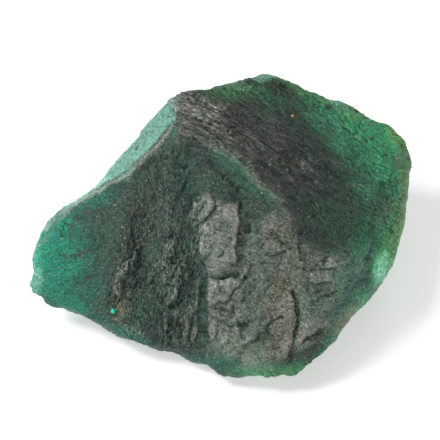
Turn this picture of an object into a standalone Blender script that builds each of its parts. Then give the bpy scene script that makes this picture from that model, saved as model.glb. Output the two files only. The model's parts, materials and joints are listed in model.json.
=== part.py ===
"""A raw emerald: one broken lump of green beryl, about 60 mm long.

The lump is drawn as the crests where its broken faces meet. The faces are stretched between the
crests, the back is scooped by scars, and then the hollows, lumps, ledges and cracks are carved.
Everything is in metres, +Z up, with the origin on the table under the middle of the stone.
"""

import math

import bmesh
import bpy
import numpy as np
from mathutils import Vector, kdtree, noise

MM = 0.001

# The stone is set out on a sight plane, which leans over the table square to a line of sight
# that drops SIGHT_DROP degrees towards +Y, from an eye EYE_DISTANCE away. A mark on the plane is
# millimetres across (+X) and up from the plane's centre, and a point of the stone lies on the
# sight line through its mark, at its own height over the table.
SIGHT_DROP = math.radians(50.0)
EYE_DISTANCE = 228.0
PLANE_CENTRE = Vector((0.0, 0.0, 13.0))
ACROSS = Vector((1.0, 0.0, 0.0))
UP = Vector((0.0, math.sin(SIGHT_DROP), math.cos(SIGHT_DROP)))
TO_EYE = Vector((0.0, -math.cos(SIGHT_DROP), math.sin(SIGHT_DROP)))

# The rim in three arcs, clockwise from the left tip. Each point is across, up, height.
STRIP_RIM = [
    (-29.6, -8.6, 8.0), (-30.0, -6.7, 9.0), (-29.3, -4.0, 10.5), (-27.7, -1.3, 12.0),
    (-25.7, 1.1, 12.8), (-22.1, 3.5, 13.6), (-18.0, 6.6, 14.6), (-17.3, 7.6, 15.2),
    (-16.0, 9.5, 16.2), (-14.4, 11.2, 17.4), (-12.6, 13.0, 18.8), (-11.1, 15.4, 20.6),
    (-9.1, 18.1, 23.5), (-7.4, 19.5, 25.5), (-5.9, 20.0, 26.3),
]
BACK_RIM = [
    (-5.9, 20.0, 26.3), (-3.9, 20.3, 26.3), (-2.0, 20.2, 26.0), (-0.5, 20.9, 25.6),
    (2.3, 21.4, 25.0), (4.7, 22.0, 24.4), (8.3, 22.3, 23.4), (11.0, 21.6, 22.0),
    (13.3, 20.4, 20.8), (15.6, 19.7, 19.4), (18.4, 19.0, 18.0), (21.2, 17.9, 16.8),
    (24.0, 16.3, 15.5), (26.3, 15.4, 14.5), (28.5, 13.7, 13.0), (29.5, 12.0, 12.2),
    (30.2, 10.4, 11.5), (29.9, 8.1, 11.3), (28.8, 2.3, 11.3), (28.0, -3.1, 11.2),
    (27.2, -6.0, 11.0), (26.3, -7.7, 10.4),
]
FRONT_RIM = [
    (26.3, -7.7, 10.4), (25.0, -9.2, 9.8), (23.6, -11.1, 9.0), (21.8, -13.3, 8.2),
    (20.0, -15.7, 7.5), (18.9, -17.6, 6.8), (17.4, -19.8, 6.0), (16.0, -21.6, 5.4),
    (14.6, -22.9, 5.0), (12.6, -23.9, 4.4), (11.0, -24.4, 4.0), (9.3, -24.4, 3.8),
    (8.3, -25.4, 3.6), (6.7, -26.1, 3.6), (5.0, -25.4, 3.5), (3.1, -24.4, 3.4),
    (1.2, -24.1, 3.4), (-0.9, -24.0, 3.4), (-2.1, -23.4, 3.5), (-3.0, -22.1, 3.9),
    (-5.1, -21.3, 4.0), (-7.6, -20.2, 4.2), (-11.8, -19.7, 4.4), (-14.1, -19.0, 4.6),
    (-15.7, -18.4, 4.8), (-17.0, -17.4, 5.0), (-18.1, -16.3, 5.2), (-20.6, -15.8, 5.3),
    (-22.6, -14.3, 5.4), (-25.0, -13.5, 5.4), (-27.3, -12.9, 5.4), (-28.9, -12.1, 5.6),
    (-30.3, -10.8, 6.2), (-30.2, -9.6, 7.0), (-29.6, -8.6, 8.0),
]

# The crests of the upper side: one climbs from the left tip to the summit, and one runs from
# there down to the corner of the rim at the lower right.
LEFT_CREST = [
    (-29.6, -8.6, 8.0), (-28.9, -5.8, 10.2), (-27.2, -2.2, 12.6), (-24.9, 0.5, 14.4),
    (-21.8, 2.6, 16.2), (-18.6, 4.6, 18.0), (-15.4, 6.6, 20.2), (-12.4, 8.9, 22.8),
    (-9.3, 12.0, 25.0), (-7.1, 15.3, 26.4), (-6.8, 18.0, 26.6), (-5.9, 20.0, 26.3),
]
MAIN_CREST = [
    (-6.8, 18.0, 26.6), (-6.0, 15.6, 27.0), (-4.9, 13.2, 27.2), (-2.3, 12.4, 27.3),
    (-0.3, 11.8, 27.3), (1.4, 10.6, 27.1), (3.1, 8.6, 26.8), (4.7, 6.8, 26.4),
    (6.5, 5.3, 26.0), (8.6, 3.9, 25.4), (10.1, 2.4, 24.4), (11.6, -0.6, 22.8),
    (13.4, -3.0, 20.8), (17.1, -5.0, 17.8), (22.0, -6.6, 13.8), (26.3, -7.7, 10.4),
]

# The rings of the underside, from under the rim down to the flat that the stone rests on. Each
# runs clockwise from the left. Each point is x, y, height.
SHOULDER = [
    (-26.0, -3.0, 6.4), (-20.5, 5.8, 9.8), (-15.0, 13.2, 13.5), (-9.0, 18.2, 18.0),
    (-1.0, 20.6, 20.0), (3.4, 22.4, 20.8), (6.2, 24.9, 21.3), (8.4, 24.7, 20.6), (11.6, 23.0, 18.2),
    (20.0, 21.0, 12.0), (28.2, 15.0, 8.0), (29.2, 3.0, 7.0), (25.6, -7.0, 6.0), (18.4, -14.4, 4.2),
    (11.0, -20.0, 2.4), (2.0, -21.0, 2.0), (-8.0, -17.7, 2.2), (-18.0, -13.3, 3.0),
    (-25.0, -10.0, 3.8),
]
BELLY = [
    (-20.5, -3.0, 2.6), (-16.5, 9.5, 5.5), (-8.0, 19.0, 8.5), (4.0, 23.0, 9.5),
    (14.0, 22.5, 8.0), (24.0, 17.0, 4.0), (27.0, 3.0, 3.0), (21.0, -9.5, 2.0),
    (10.0, -17.8, 0.8), (-1.0, -18.5, 0.7), (-11.0, -15.6, 1.0), (-19.0, -10.8, 1.7),
]
SOLE = [
    (-16.0, -4.0, 1.5), (-12.0, 7.0, 1.8), (-5.0, 15.0, 2.2), (5.0, 18.5, 2.4),
    (14.5, 17.0, 2.2), (21.5, 11.0, 1.7), (22.5, -1.0, 1.3), (16.5, -10.0, 0.9),
    (8.0, -15.0, 0.6), (-2.0, -15.6, 0.5), (-9.5, -13.0, 0.7), (-14.5, -9.0, 1.0),
]
FOOT = [
    (-9.5, -4.0, 0.0), (-7.0, 3.0, 0.0), (-2.0, 8.0, 0.0), (5.0, 11.0, 0.0),
    (12.0, 9.5, 0.0), (15.5, 4.0, 0.0), (15.0, -2.5, 0.0), (11.0, -8.0, 0.0),
    (4.5, -11.0, 0.0), (-2.0, -11.5, 0.0), (-7.0, -9.0, 0.0),
]

# Shell-shaped scars broken out of the back and the underside, as balls: x, y, height, radius.
SCARS = {
    "upper back": (-8.0, 43.5, 14.0, 24.2),
    "lower back": (15.0, 49.5, 2.0, 28.0),
    "left flank": (-38.0, 24.0, -1.0, 27.0),
    "right flank": (51.0, 9.0, -5.0, 24.5),
    "under the front": (-14.0, -43.0, -15.0, 29.5),
}

# Hollows and swellings of the upper faces: across, up, half length, half width, turn in degrees
# from across, rise, and edge (1 for a soft bell, up to 4 for a block with steep sides).
SWELLINGS = {
    "bowl under the crest": (0.6, 7.8, 8.6, 3.6, -42, -1.2, 1.0),
    "chute under the summit": (-4.9, 8.0, 6.4, 2.4, 85, -0.8, 1.0),
    "block": (0.5, -1.9, 7.4, 3.2, 88, 0.7, 3.0),
    "block's left knuckle": (-2.8, 1.8, 3.4, 2.1, 60, 0.55, 1.5),
    "lower block": (1.0, -10.6, 4.2, 3.0, 80, 0.5, 1.5),
    "toe block": (0.9, -18.6, 4.6, 3.2, 88, 0.5, 1.5),
    "left valley": (-12.1, -4.7, 11.0, 2.6, 82, -0.6, 1.0),
    "left rib": (-14.9, -6.5, 6.6, 1.7, 80, 0.5, 1.0),
    "knuckled ridge": (-7.4, -5.5, 8.5, 2.6, 80, 0.6, 1.0),
    "hollow beside it": (-4.0, -9.5, 6.5, 1.7, 84, -0.5, 1.0),
    "swelling by the crack": (8.0, -15.5, 5.0, 3.4, 60, 0.45, 1.0),
    "dished top": (6.5, 12.5, 11.0, 4.2, -33, -0.9, 1.0),
    "scallop in the top": (8.8, 7.0, 4.2, 2.3, -28, -0.4, 1.5),
    "hollow in the right face": (17.5, -3.5, 7.0, 4.0, 10, -0.5, 1.0),
    "flat of the tip": (-23.0, -6.0, 6.0, 4.5, 40, 0.5, 1.0),
}

# Ledges: the ground left of the line, as it runs, stands proud by rise and fades with distance.
LEDGES = {
    "fault down the front": (
        [(-1.8, -22.9), (-2.0, -18.7), (-2.7, -14.4), (-2.1, -10.0), (-2.3, -6.5), (-3.2, -3.1)], -1.0, 6.0),
    "lip across the top": (
        [(15.7, 7.6), (11.5, 7.6), (9.8, 9.2), (7.2, 11.2), (5.3, 12.6)], -0.5, 4.0),
    "second lip": ([(25.0, 5.3), (21.1, 5.8), (18.5, 5.2)], -0.3, 2.5),
    "block's right edge": ([(2.2, 3.4), (3.5, 1.2), (3.2, -2.6)], -0.5, 2.5),
}

# Cracks and creases: marks along the line, half width and depth.
CRACKS = {
    "long crack": ([(11.5, -11.2), (12.0, -13.7), (11.8, -16.3), (11.3, -18.7), (10.9, -21.5)], 0.5, 0.6),
    "slanting crack": ([(11.2, -20.5), (12.9, -18.7), (15.9, -16.3)], 0.5, 0.4),
    "upper cross crack": ([(-0.9, -8.9), (1.2, -9.2), (3.4, -8.6)], 0.6, 0.6),
    "lower cross crack": ([(-1.4, -15.4), (1.2, -16.3), (3.9, -16.5), (6.5, -15.9)], 0.6, 0.5),
    "crease in the bowl": ([(-1.9, 9.6), (0.3, 7.5), (3.6, 4.5)], 0.7, 0.4),
    "right groove": ([(12.9, -12.9), (15.2, -12.0), (17.6, -11.2)], 0.6, 0.3),
    "bent crease": ([(9.2, -2.8), (10.4, -4.2), (8.1, -5.8)], 0.6, 0.3),
}

# Broken ground: across, up, half length, half width, turn, height, and the length and width of
# its lumps. The lumps are drawn out along the ground's own length.
GROUNDS = {
    "knuckled ground": (-7.6, -6.5, 17.0, 6.5, 84, 0.55, 5.2, 2.4),
    "blocky ground": (2.0, -9.0, 17.0, 6.5, 88, 0.50, 4.2, 2.8),
    "cracked ground": (13.5, -9.0, 13.0, 9.0, 60, 0.35, 3.6, 3.0),
    "left ground": (-15.0, -7.0, 11.0, 5.0, 82, 0.40, 5.0, 1.6),
    "tip": (-24.0, -6.0, 9.0, 8.0, 20, 0.15, 3.0, 2.4),
    "top": (10.0, 10.0, 20.0, 9.0, -30, 0.30, 6.0, 2.4),
    "right field": (22.0, 6.0, 12.0, 9.0, -60, 0.28, 4.0, 3.0),
    "strip": (-18.0, 4.0, 18.0, 4.0, 50, 0.22, 3.6, 2.2),
}

VOXEL = 0.45
CREST_WIDTH = 1.6
SMOOTHINGS = 60
FOOT_CUT = 0.3
CHIP_WIDTH = 9.0
CHIP_DEPTH = 0.9
SEED = 7
KEPT_FACES = 9500


def on_sight_line(across, up, height):
    """The point at that height on the sight line through a mark, in millimetres."""
    eye = PLANE_CENTRE + TO_EYE * EYE_DISTANCE
    mark = PLANE_CENTRE + ACROSS * across + UP * up
    ray = mark - eye
    return eye + ray * ((height - eye.z) / ray.z)


def marks_of(points):
    """The marks, across and up, through which the points are seen. The points are in mm."""
    from_centre = points - np.array(PLANE_CENTRE)
    nearer = EYE_DISTANCE / (EYE_DISTANCE - from_centre @ np.array(TO_EYE))
    return np.stack([from_centre @ np.array(ACROSS), from_centre @ np.array(UP)], 1) * nearer[:, None]


def ramp(values, low, high):
    """0 at low, 1 at high, with a smooth step between."""
    t = np.clip((values - low) / (high - low), 0, 1)
    return t * t * (3 - 2 * t)


def clear_scene():
    for obj in list(bpy.data.objects):
        bpy.data.objects.remove(obj)


def draw_chain(bm, points, known):
    """Edges through the points. A point met before is used again, so chains join."""
    edges = []
    last = None
    for point in points:
        key = tuple(round(c, 4) for c in point)
        if key not in known:
            known[key] = bm.verts.new(Vector(point) * MM)
        if last is not None:
            edges.append(bm.edges.get((last, known[key])) or bm.edges.new((last, known[key])))
        last = known[key]
    return edges


def block_between_crests():
    """The lump with flat faces stretched from crest to crest."""
    bm = bmesh.new()
    known = {}

    def chain(marks):
        return draw_chain(bm, [on_sight_line(*mark) for mark in marks], known)

    strip_rim, back_rim, front_rim = chain(STRIP_RIM), chain(BACK_RIM), chain(FRONT_RIM)
    left_crest, main_crest = chain(LEFT_CREST), chain(MAIN_CREST)
    upper_faces = [
        strip_rim + left_crest,
        back_rim + left_crest[-1:] + main_crest,
        front_rim + left_crest[:-1] + main_crest,
    ]
    for loop in upper_faces:
        bmesh.ops.triangle_fill(bm, use_beauty=True, edges=loop, normal=TO_EYE)
    rings = [strip_rim + back_rim + front_rim]
    rings += [draw_chain(bm, ring + ring[:1], known) for ring in (SHOULDER, BELLY, SOLE, FOOT)]
    for upper, lower in zip(rings, rings[1:]):
        bmesh.ops.bridge_loops(bm, edges=upper + lower)
    bmesh.ops.triangle_fill(bm, use_beauty=True, edges=rings[-1])
    bmesh.ops.recalc_face_normals(bm, faces=bm.faces)
    mesh = bpy.data.meshes.new("block")
    bm.to_mesh(mesh)
    bm.free()
    return mesh


def add_object(name, mesh, collection):
    obj = bpy.data.objects.new(name, mesh)
    collection.objects.link(obj)
    return obj


def new_collection(name):
    collection = bpy.data.collections.new(name)
    bpy.context.scene.collection.children.link(collection)
    return collection


def baked_mesh(obj):
    """The object's mesh with its modifiers applied."""
    bpy.context.view_layer.update()
    return bpy.data.meshes.new_from_object(obj.evaluated_get(bpy.context.evaluated_depsgraph_get()))


def scar_cutters(collection):
    for name, (x, y, height, radius) in SCARS.items():
        bm = bmesh.new()
        bmesh.ops.create_icosphere(bm, subdivisions=4, radius=radius * MM)
        mesh = bpy.data.meshes.new(name)
        bm.to_mesh(mesh)
        bm.free()
        ball = add_object(name, mesh, collection)
        ball.location = Vector((x, y, height)) * MM
        ball.hide_render = True
        ball.display_type = "WIRE"


def crest_points():
    """Points close together along every crest and ring, in metres."""
    chains = [
        [on_sight_line(*mark) for mark in marks]
        for marks in (STRIP_RIM, BACK_RIM, FRONT_RIM, LEFT_CREST, MAIN_CREST)
    ]
    chains.append([Vector(corner) for corner in FOOT + FOOT[:1]])
    points = []
    for chain in chains:
        for start, end in zip(chain, chain[1:]):
            steps = max(2, int((end - start).length / 0.4))
            points += [start.lerp(end, i / steps) * MM for i in range(steps)]
    return points


def smooth_faces(obj):
    """Relaxes the faces between the crests, which stay sharp."""
    crests = crest_points()
    tree = kdtree.KDTree(len(crests))
    for index, point in enumerate(crests):
        tree.insert(point, index)
    tree.balance()
    group = obj.vertex_groups.new(name="faces")
    for vert in obj.data.vertices:
        distance = tree.find(vert.co)[2]
        group.add([vert.index], min(1.0, max(0.2, distance / (CREST_WIDTH * MM))), "REPLACE")
    smooth = obj.modifiers.new("relaxed_faces", "SMOOTH")
    smooth.vertex_group = "faces"
    smooth.factor = 0.5
    smooth.iterations = SMOOTHINGS


def line_distance(marks, line):
    """Distance of each mark from a line through points, and the side: positive on its left."""
    best = np.full(len(marks), np.inf)
    side = np.ones(len(marks))
    for start, end in zip(np.array(line), np.array(line)[1:]):
        run = end - start
        along = np.clip(((marks - start) @ run) / (run @ run), 0, 1)
        gap = marks - (start + along[:, None] * run)
        distance = np.hypot(gap[:, 0], gap[:, 1])
        closer = distance < best
        best[closer] = distance[closer]
        side[closer] = np.sign(run[0] * gap[closer, 1] - run[1] * gap[closer, 0])
    return best, side


def turned(marks, across, up, turn):
    """The marks measured along and aside of an axis through (across, up)."""
    c, s = math.cos(math.radians(turn)), math.sin(math.radians(turn))
    offset = marks - (across, up)
    return offset[:, 0] * c + offset[:, 1] * s, offset[:, 1] * c - offset[:, 0] * s


def swelling_rise(marks, across, up, half_length, half_width, turn, rise, edge):
    along, aside = turned(marks, across, up, turn)
    inside = np.clip(1 - (along / half_length) ** 2 - (aside / half_width) ** 2, 0, 1)
    return rise * ramp(np.clip(inside * edge, 0, 1), 0, 1)


def ground_rise(marks, across, up, half_length, half_width, turn, rise, lump_length, lump_width):
    """Lumps with creases between them, strongest at the middle of the ground."""
    along, aside = turned(marks, across, up, turn)
    inside = ramp(1 - (along / half_length) ** 2 - (aside / half_width) ** 2, 0, 0.8)
    lumps = np.zeros(len(marks))
    for i in np.flatnonzero(inside > 0):
        spot = Vector((along[i] / lump_length, aside[i] / lump_width, across))
        lumps[i] = noise.hetero_terrain(spot, 0.9, 2.0, 4, 0.4) * 0.5
        lumps[i] += 0.6 - 1.2 * abs(noise.noise(spot * 1.7))
    return rise * inside * lumps


def wandered(marks):
    """The marks shifted a little this way and that, which gives every edge a broken line."""
    moved = [
        (noise.noise_vector(Vector((a * 0.22, u * 0.22, 3.0))) * 1.1
         + noise.noise_vector(Vector((a * 0.7, u * 0.7, 9.0))) * 0.5)[:2]
        for a, u in marks
    ]
    return marks + np.array(moved)


def ledge_rise(marks, line, rise, fade):
    distance, side = line_distance(marks, line)
    return rise * ramp(side * distance, -0.5, 0.5) * np.exp(-np.maximum(side, 0) * distance / fade)


def crack_depth(marks, line, half_width, depth):
    distance, _ = line_distance(marks, line)
    return -depth * np.exp(-((distance / half_width) ** 2))


def chips(points):
    """Shallow shell-shaped chips with low ridges between them."""
    depth = np.empty(len(points))
    for i, point in enumerate(points):
        spot = Vector(point)
        spot += noise.noise_vector(spot * 0.12) * 3.0
        near, next_near = noise.voronoi(spot / CHIP_WIDTH)[0][:2]
        depth[i] = next_near - near
    return CHIP_DEPTH * (0.5 - ramp(depth, 0, 0.55))


def carve(mesh):
    """Moves the points of the mesh along their normals, in mm, by every named shape."""
    count = len(mesh.vertices)
    points, normals = np.empty(count * 3), np.empty(count * 3)
    mesh.vertices.foreach_get("co", points)
    mesh.vertices.foreach_get("normal", normals)
    points, normals = points.reshape(-1, 3) / MM, normals.reshape(-1, 3)
    marks = wandered(marks_of(points))
    rise = np.zeros(count)
    for swelling in SWELLINGS.values():
        rise += swelling_rise(marks, *swelling)
    for ledge in LEDGES.values():
        rise += ledge_rise(marks, *ledge)
    for crack in CRACKS.values():
        rise += crack_depth(marks, *crack)
    for ground in GROUNDS.values():
        rise += ground_rise(marks, *ground)
    rise *= ramp(normals @ np.array(TO_EYE), 0.05, 0.35)
    rough = np.array([noise.fractal(Vector(p) * 0.28, 0.9, 2.1, 5) for p in points])
    faces_up = ramp(normals @ np.array(TO_EYE), -0.2, 0.25)
    rise += faces_up * 0.22 * rough
    rise += (1 - faces_up) * (0.40 * rough + chips(points))
    rise *= ramp(points[:, 2], 0.3, 1.4)
    points += normals * rise[:, None]
    mesh.vertices.foreach_set("co", (points * MM).ravel())
    mesh.update()


def cut_foot(mesh):
    """Cuts the foot off level, closes it, and stands the stone on the origin."""
    bm = bmesh.new()
    bm.from_mesh(mesh)
    lowest = min(v.co.z for v in bm.verts)
    cut = bmesh.ops.bisect_plane(
        bm, geom=bm.verts[:] + bm.edges[:] + bm.faces[:], dist=1e-6,
        plane_co=(0, 0, lowest + FOOT_CUT * MM), plane_no=(0, 0, -1), clear_outer=True)
    ring = [e for e in cut["geom_cut"] if isinstance(e, bmesh.types.BMEdge)]
    bmesh.ops.contextual_create(bm, geom=ring)
    low = Vector([min(v.co[i] for v in bm.verts) for i in range(3)])
    high = Vector([max(v.co[i] for v in bm.verts) for i in range(3)])
    shift = Vector((-(low.x + high.x) / 2, -(low.y + high.y) / 2, -low.z))
    bmesh.ops.translate(bm, verts=bm.verts, vec=shift)
    bmesh.ops.recalc_face_normals(bm, faces=bm.faces)
    bm.to_mesh(mesh)
    bm.free()
    return shift


def emerald_material():
    material = bpy.data.materials.new("raw_emerald")
    material.use_nodes = True
    shader = material.node_tree.nodes["Principled BSDF"]
    shader.inputs["Base Color"].default_value = (0.02, 0.12, 0.07, 1.0)
    shader.inputs["Roughness"].default_value = 0.45
    shader.inputs["Metallic"].default_value = 0.0
    return material


def main():
    clear_scene()
    noise.seed_set(SEED)
    parts = new_collection("raw_emerald")
    cutters = new_collection("cutters")
    scar_cutters(cutters)
    stone = add_object("emerald", block_between_crests(), parts)
    for ball in cutters.objects:
        scoop = stone.modifiers.new(ball.name, "BOOLEAN")
        scoop.operation = "DIFFERENCE"
        scoop.object = ball
    remesh = stone.modifiers.new("even_faces", "REMESH")
    remesh.mode = "VOXEL"
    remesh.voxel_size = VOXEL * MM
    stone.data = baked_mesh(stone)
    stone.modifiers.clear()
    smooth_faces(stone)
    mesh = baked_mesh(stone)
    stone.modifiers.clear()
    carve(mesh)
    stone.data = mesh
    worn = stone.modifiers.new("worn_edges", "SMOOTH")
    worn.iterations = 2
    fewer = stone.modifiers.new("fewer_faces", "DECIMATE")
    fewer.ratio = KEPT_FACES / (2 * len(mesh.polygons))
    mesh = baked_mesh(stone)
    stone.modifiers.clear()
    shift = cut_foot(mesh)
    print("moved onto the origin by, mm:", [round(v / MM, 3) for v in shift])
    stone.data = mesh
    mesh.materials.clear()
    mesh.materials.append(emerald_material())
    mesh.shade_smooth()
    mesh.set_sharp_from_angle(angle=math.radians(40))
    return shift


shift_of_frame = main()
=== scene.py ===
# %% [markdown]
# # A raw emerald, from a plain solid to a finished stone
# The imported solid already has the big shape: the crests, the faces between them, the scars and the
# larger ledges. This lesson copies it, adds the fine relief of broken beryl, paints where light
# comes through the thin edges, and gives the stone its colours and stains, with painted sheen and
# glints on its skin and painted shade in its hollows.

# %% Load the solid and the tools
import json
import math
import random
from types import SimpleNamespace

import bmesh
import bpy
import numpy as np
from mathutils import Matrix, Vector, noise

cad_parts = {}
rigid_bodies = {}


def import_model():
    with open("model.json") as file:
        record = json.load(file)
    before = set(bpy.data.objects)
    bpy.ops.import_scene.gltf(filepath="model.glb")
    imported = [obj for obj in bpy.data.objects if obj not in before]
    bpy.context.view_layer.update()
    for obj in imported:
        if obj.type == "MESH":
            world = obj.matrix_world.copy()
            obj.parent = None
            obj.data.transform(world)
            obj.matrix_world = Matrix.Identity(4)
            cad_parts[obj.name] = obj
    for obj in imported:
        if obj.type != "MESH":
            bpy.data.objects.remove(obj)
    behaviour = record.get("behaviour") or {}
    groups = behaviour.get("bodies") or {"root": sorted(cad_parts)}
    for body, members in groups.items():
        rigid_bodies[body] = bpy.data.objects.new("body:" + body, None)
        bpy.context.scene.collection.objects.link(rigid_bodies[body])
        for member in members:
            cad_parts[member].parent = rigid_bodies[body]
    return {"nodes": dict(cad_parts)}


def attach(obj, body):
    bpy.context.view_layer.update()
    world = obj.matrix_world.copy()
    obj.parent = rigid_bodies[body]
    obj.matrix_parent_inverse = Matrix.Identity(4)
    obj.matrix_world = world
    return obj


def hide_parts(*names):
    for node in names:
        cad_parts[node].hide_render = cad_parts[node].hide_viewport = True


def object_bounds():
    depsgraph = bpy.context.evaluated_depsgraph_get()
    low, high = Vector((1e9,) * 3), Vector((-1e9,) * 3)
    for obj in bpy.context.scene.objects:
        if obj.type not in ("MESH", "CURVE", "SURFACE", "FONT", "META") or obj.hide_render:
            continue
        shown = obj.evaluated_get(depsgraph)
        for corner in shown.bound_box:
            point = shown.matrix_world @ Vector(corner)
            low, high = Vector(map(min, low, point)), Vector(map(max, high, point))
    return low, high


MM = 0.001
SEED = 7
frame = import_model()
cad_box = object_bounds()
solid = frame["nodes"]["emerald"]
noise.seed_set(SEED)
random.seed(SEED)
scene = bpy.context.scene
print("solid, mm:", [[round(v / MM, 2) for v in corner] for corner in cad_box])

# %% [markdown]
# ## The camera
# The stone is seen from the front, from 50 degrees above the table, through a long lens that keeps
# the perspective mild. A plane through the stone's middle, square to that line of sight, is also
# handy for setting out: a mark on it is millimetres across and up, and every point of the surface
# has a mark. The shapes below are placed by their marks, and they stay fixed on the stone.

# %% Camera and sight plane
SIGHT_DROP = math.radians(50.0)
EYE_DISTANCE = 228.0
LENS, SENSOR = 120, 36
PLANE_CENTRE = Vector((-0.94, -0.54, 12.7))
ACROSS = Vector((1.0, 0.0, 0.0))
UP = Vector((0.0, math.sin(SIGHT_DROP), math.cos(SIGHT_DROP)))
TO_EYE = Vector((0.0, -math.cos(SIGHT_DROP), math.sin(SIGHT_DROP)))


def add_camera():
    camera = bpy.data.objects.new("camera", bpy.data.cameras.new("camera"))
    scene.collection.objects.link(camera)
    camera.location = (PLANE_CENTRE + TO_EYE * EYE_DISTANCE) * MM
    camera.rotation_euler = TO_EYE.to_track_quat("Z", "Y").to_euler()
    camera.data.lens = LENS
    camera.data.sensor_width = SENSOR
    camera.data.clip_start = 0.01
    scene.camera = camera
    return camera


camera = add_camera()
print("camera at, mm:", [round(v / MM, 1) for v in camera.location])


# %% [markdown]
# ## Floor and light
# A white floor under a white sky gives the bright, nearly shadowless setting that shows a stone best.
# The key light stands to the left and a little behind, so it rakes over the broken faces and every
# ledge shows its edge. A wide light in front and a weak one behind keep the shadows open.

# %% Floor and light
SKY = 0.24
FLOOR_GLOW = 0.38
FLOOR_SIZE = 4.0
STONE_MIDDLE = Vector((0.0, 0.0, 0.012))
# place and size in metres, power in watts
SOFTBOXES = {
    "key_box": ((-0.30, 0.06, 0.38), 0.20, 2.0),
    "front_box": ((0.10, -0.50, 0.28), 0.36, 1.1),
    "back_box": ((0.16, 0.36, 0.45), 0.30, 0.3),
}


def plain_material(name, colour, roughness):
    material = bpy.data.materials.new(name)
    material.use_nodes = True
    shader = material.node_tree.nodes["Principled BSDF"]
    shader.inputs["Base Color"].default_value = (*colour, 1.0)
    shader.inputs["Roughness"].default_value = roughness
    return material


def object_from(bm, name):
    mesh = bpy.data.meshes.new(name)
    bm.to_mesh(mesh)
    bm.free()
    obj = bpy.data.objects.new(name, mesh)
    scene.collection.objects.link(obj)
    return obj


def add_floor():
    bm = bmesh.new()
    bmesh.ops.create_grid(bm, x_segments=1, y_segments=1, size=FLOOR_SIZE / 2)
    floor = object_from(bm, "floor")
    card = plain_material("white_card", (0.88, 0.88, 0.88), 0.7)
    shader = card.node_tree.nodes["Principled BSDF"]
    shader.inputs["Emission Color"].default_value = (1.0, 1.0, 1.0, 1.0)
    shader.inputs["Emission Strength"].default_value = FLOOR_GLOW
    floor.data.materials.append(card)


def add_softbox(name, place, size, power):
    """A square soft light at place, in metres, aimed at the stone."""
    light = bpy.data.objects.new(name, bpy.data.lights.new(name, "AREA"))
    scene.collection.objects.link(light)
    light.location = place
    light.data.size = size
    light.data.energy = power
    aim = STONE_MIDDLE - light.location
    light.rotation_euler = aim.to_track_quat("-Z", "Y").to_euler()


def add_sky():
    world = bpy.data.worlds.new("white_room")
    world.use_nodes = True
    world.node_tree.nodes["Background"].inputs["Color"].default_value = (1.0, 1.0, 1.0, 1.0)
    world.node_tree.nodes["Background"].inputs["Strength"].default_value = SKY
    scene.world = world


add_floor()
add_sky()
for name, box in SOFTBOXES.items():
    add_softbox(name, *box)
scene.view_settings.view_transform = "Standard"
print("lights:", ", ".join(SOFTBOXES))


# %% [markdown]
# ## The stone's mesh
# The solid's mesh is loose triangles of uneven size, and subdividing would keep them uneven. So a
# copy is merged and remeshed into small even squares, which take fine relief well, and relaxed a
# little, until the old facets are gone.

# %% Copy, merge and remesh
VOXEL = 0.19
RELAX = 8


def baked_mesh(obj):
    bpy.context.view_layer.update()
    return bpy.data.meshes.new_from_object(obj.evaluated_get(bpy.context.evaluated_depsgraph_get()))


def copy_of_solid():
    bm = bmesh.new()
    bm.from_mesh(solid.data)
    bmesh.ops.remove_doubles(bm, verts=bm.verts, dist=1e-6)
    stone = object_from(bm, "rough_emerald")
    remesh = stone.modifiers.new("even_squares", "REMESH")
    remesh.mode = "VOXEL"
    remesh.voxel_size = VOXEL * MM
    relax = stone.modifiers.new("relax", "SMOOTH")
    relax.iterations = RELAX
    mesh = baked_mesh(stone)
    stone.modifiers.clear()
    stone.data = mesh
    return stone


stone = copy_of_solid()
print("stone has", len(stone.data.vertices), "points and", 2 * len(stone.data.polygons), "triangles")


# %% [markdown]
# ## Helpers for setting out
# The relief is set out on the sight plane. These helpers read the mesh's points, give each one its
# mark, and measure how near it is to an ellipse or to a line. They work on all points at once,
# which is many times quicker than going through them one by one.

# %% Points, marks, ellipses and lines
def points_of(mesh, what="co"):
    values = np.empty(len(mesh.vertices) * 3)
    mesh.vertices.foreach_get(what, values)
    return values.reshape(-1, 3)


def marks_of(points):
    """Marks, across and up in mm, of points in mm."""
    offset = points - np.array(PLANE_CENTRE)
    nearer = EYE_DISTANCE / (EYE_DISTANCE - offset @ np.array(TO_EYE))
    return np.stack([offset @ np.array(ACROSS), offset @ np.array(UP)], 1) * nearer[:, None]


def ramp(values, low, high):
    t = np.clip((values - low) / (high - low), 0, 1)
    return t * t * (3 - 2 * t)


def turned(marks, across, up, turn):
    c, s = math.cos(math.radians(turn)), math.sin(math.radians(turn))
    offset = marks - (across, up)
    return offset[:, 0] * c + offset[:, 1] * s, offset[:, 1] * c - offset[:, 0] * s


def inside_ellipse(marks, across, up, half_length, half_width, turn, soft=1.0):
    """1 in the ellipse's middle, 0 at its edge. A small soft makes the edge steep."""
    along, aside = turned(marks, across, up, turn)
    return ramp(1 - (along / half_length) ** 2 - (aside / half_width) ** 2, 0, soft)


def line_distance(marks, line):
    """Distance from a line, its side, 1 on the left as the line runs, and how far its ends are."""
    corners = np.array(line)
    lengths = np.hypot(*(corners[1:] - corners[:-1]).T)
    best, side, place = np.full(len(marks), np.inf), np.ones(len(marks)), np.zeros(len(marks))
    for start, end, before in zip(corners, corners[1:], np.cumsum(lengths) - lengths):
        run = end - start
        along = np.clip(((marks - start) @ run) / (run @ run), 0, 1)
        gap = marks - (start + along[:, None] * run)
        distance = np.hypot(gap[:, 0], gap[:, 1])
        closer = distance < best
        best[closer] = distance[closer]
        side[closer] = np.sign(run[0] * gap[closer, 1] - run[1] * gap[closer, 0])
        place[closer] = before + along[closer] * np.hypot(*run)
    return best, side, np.minimum(place, lengths.sum() - place)


marks = marks_of(points_of(stone.data) / MM)
print("marks: from", marks.min(0).round(1).tolist(), "to", marks.max(0).round(1).tolist())

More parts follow.
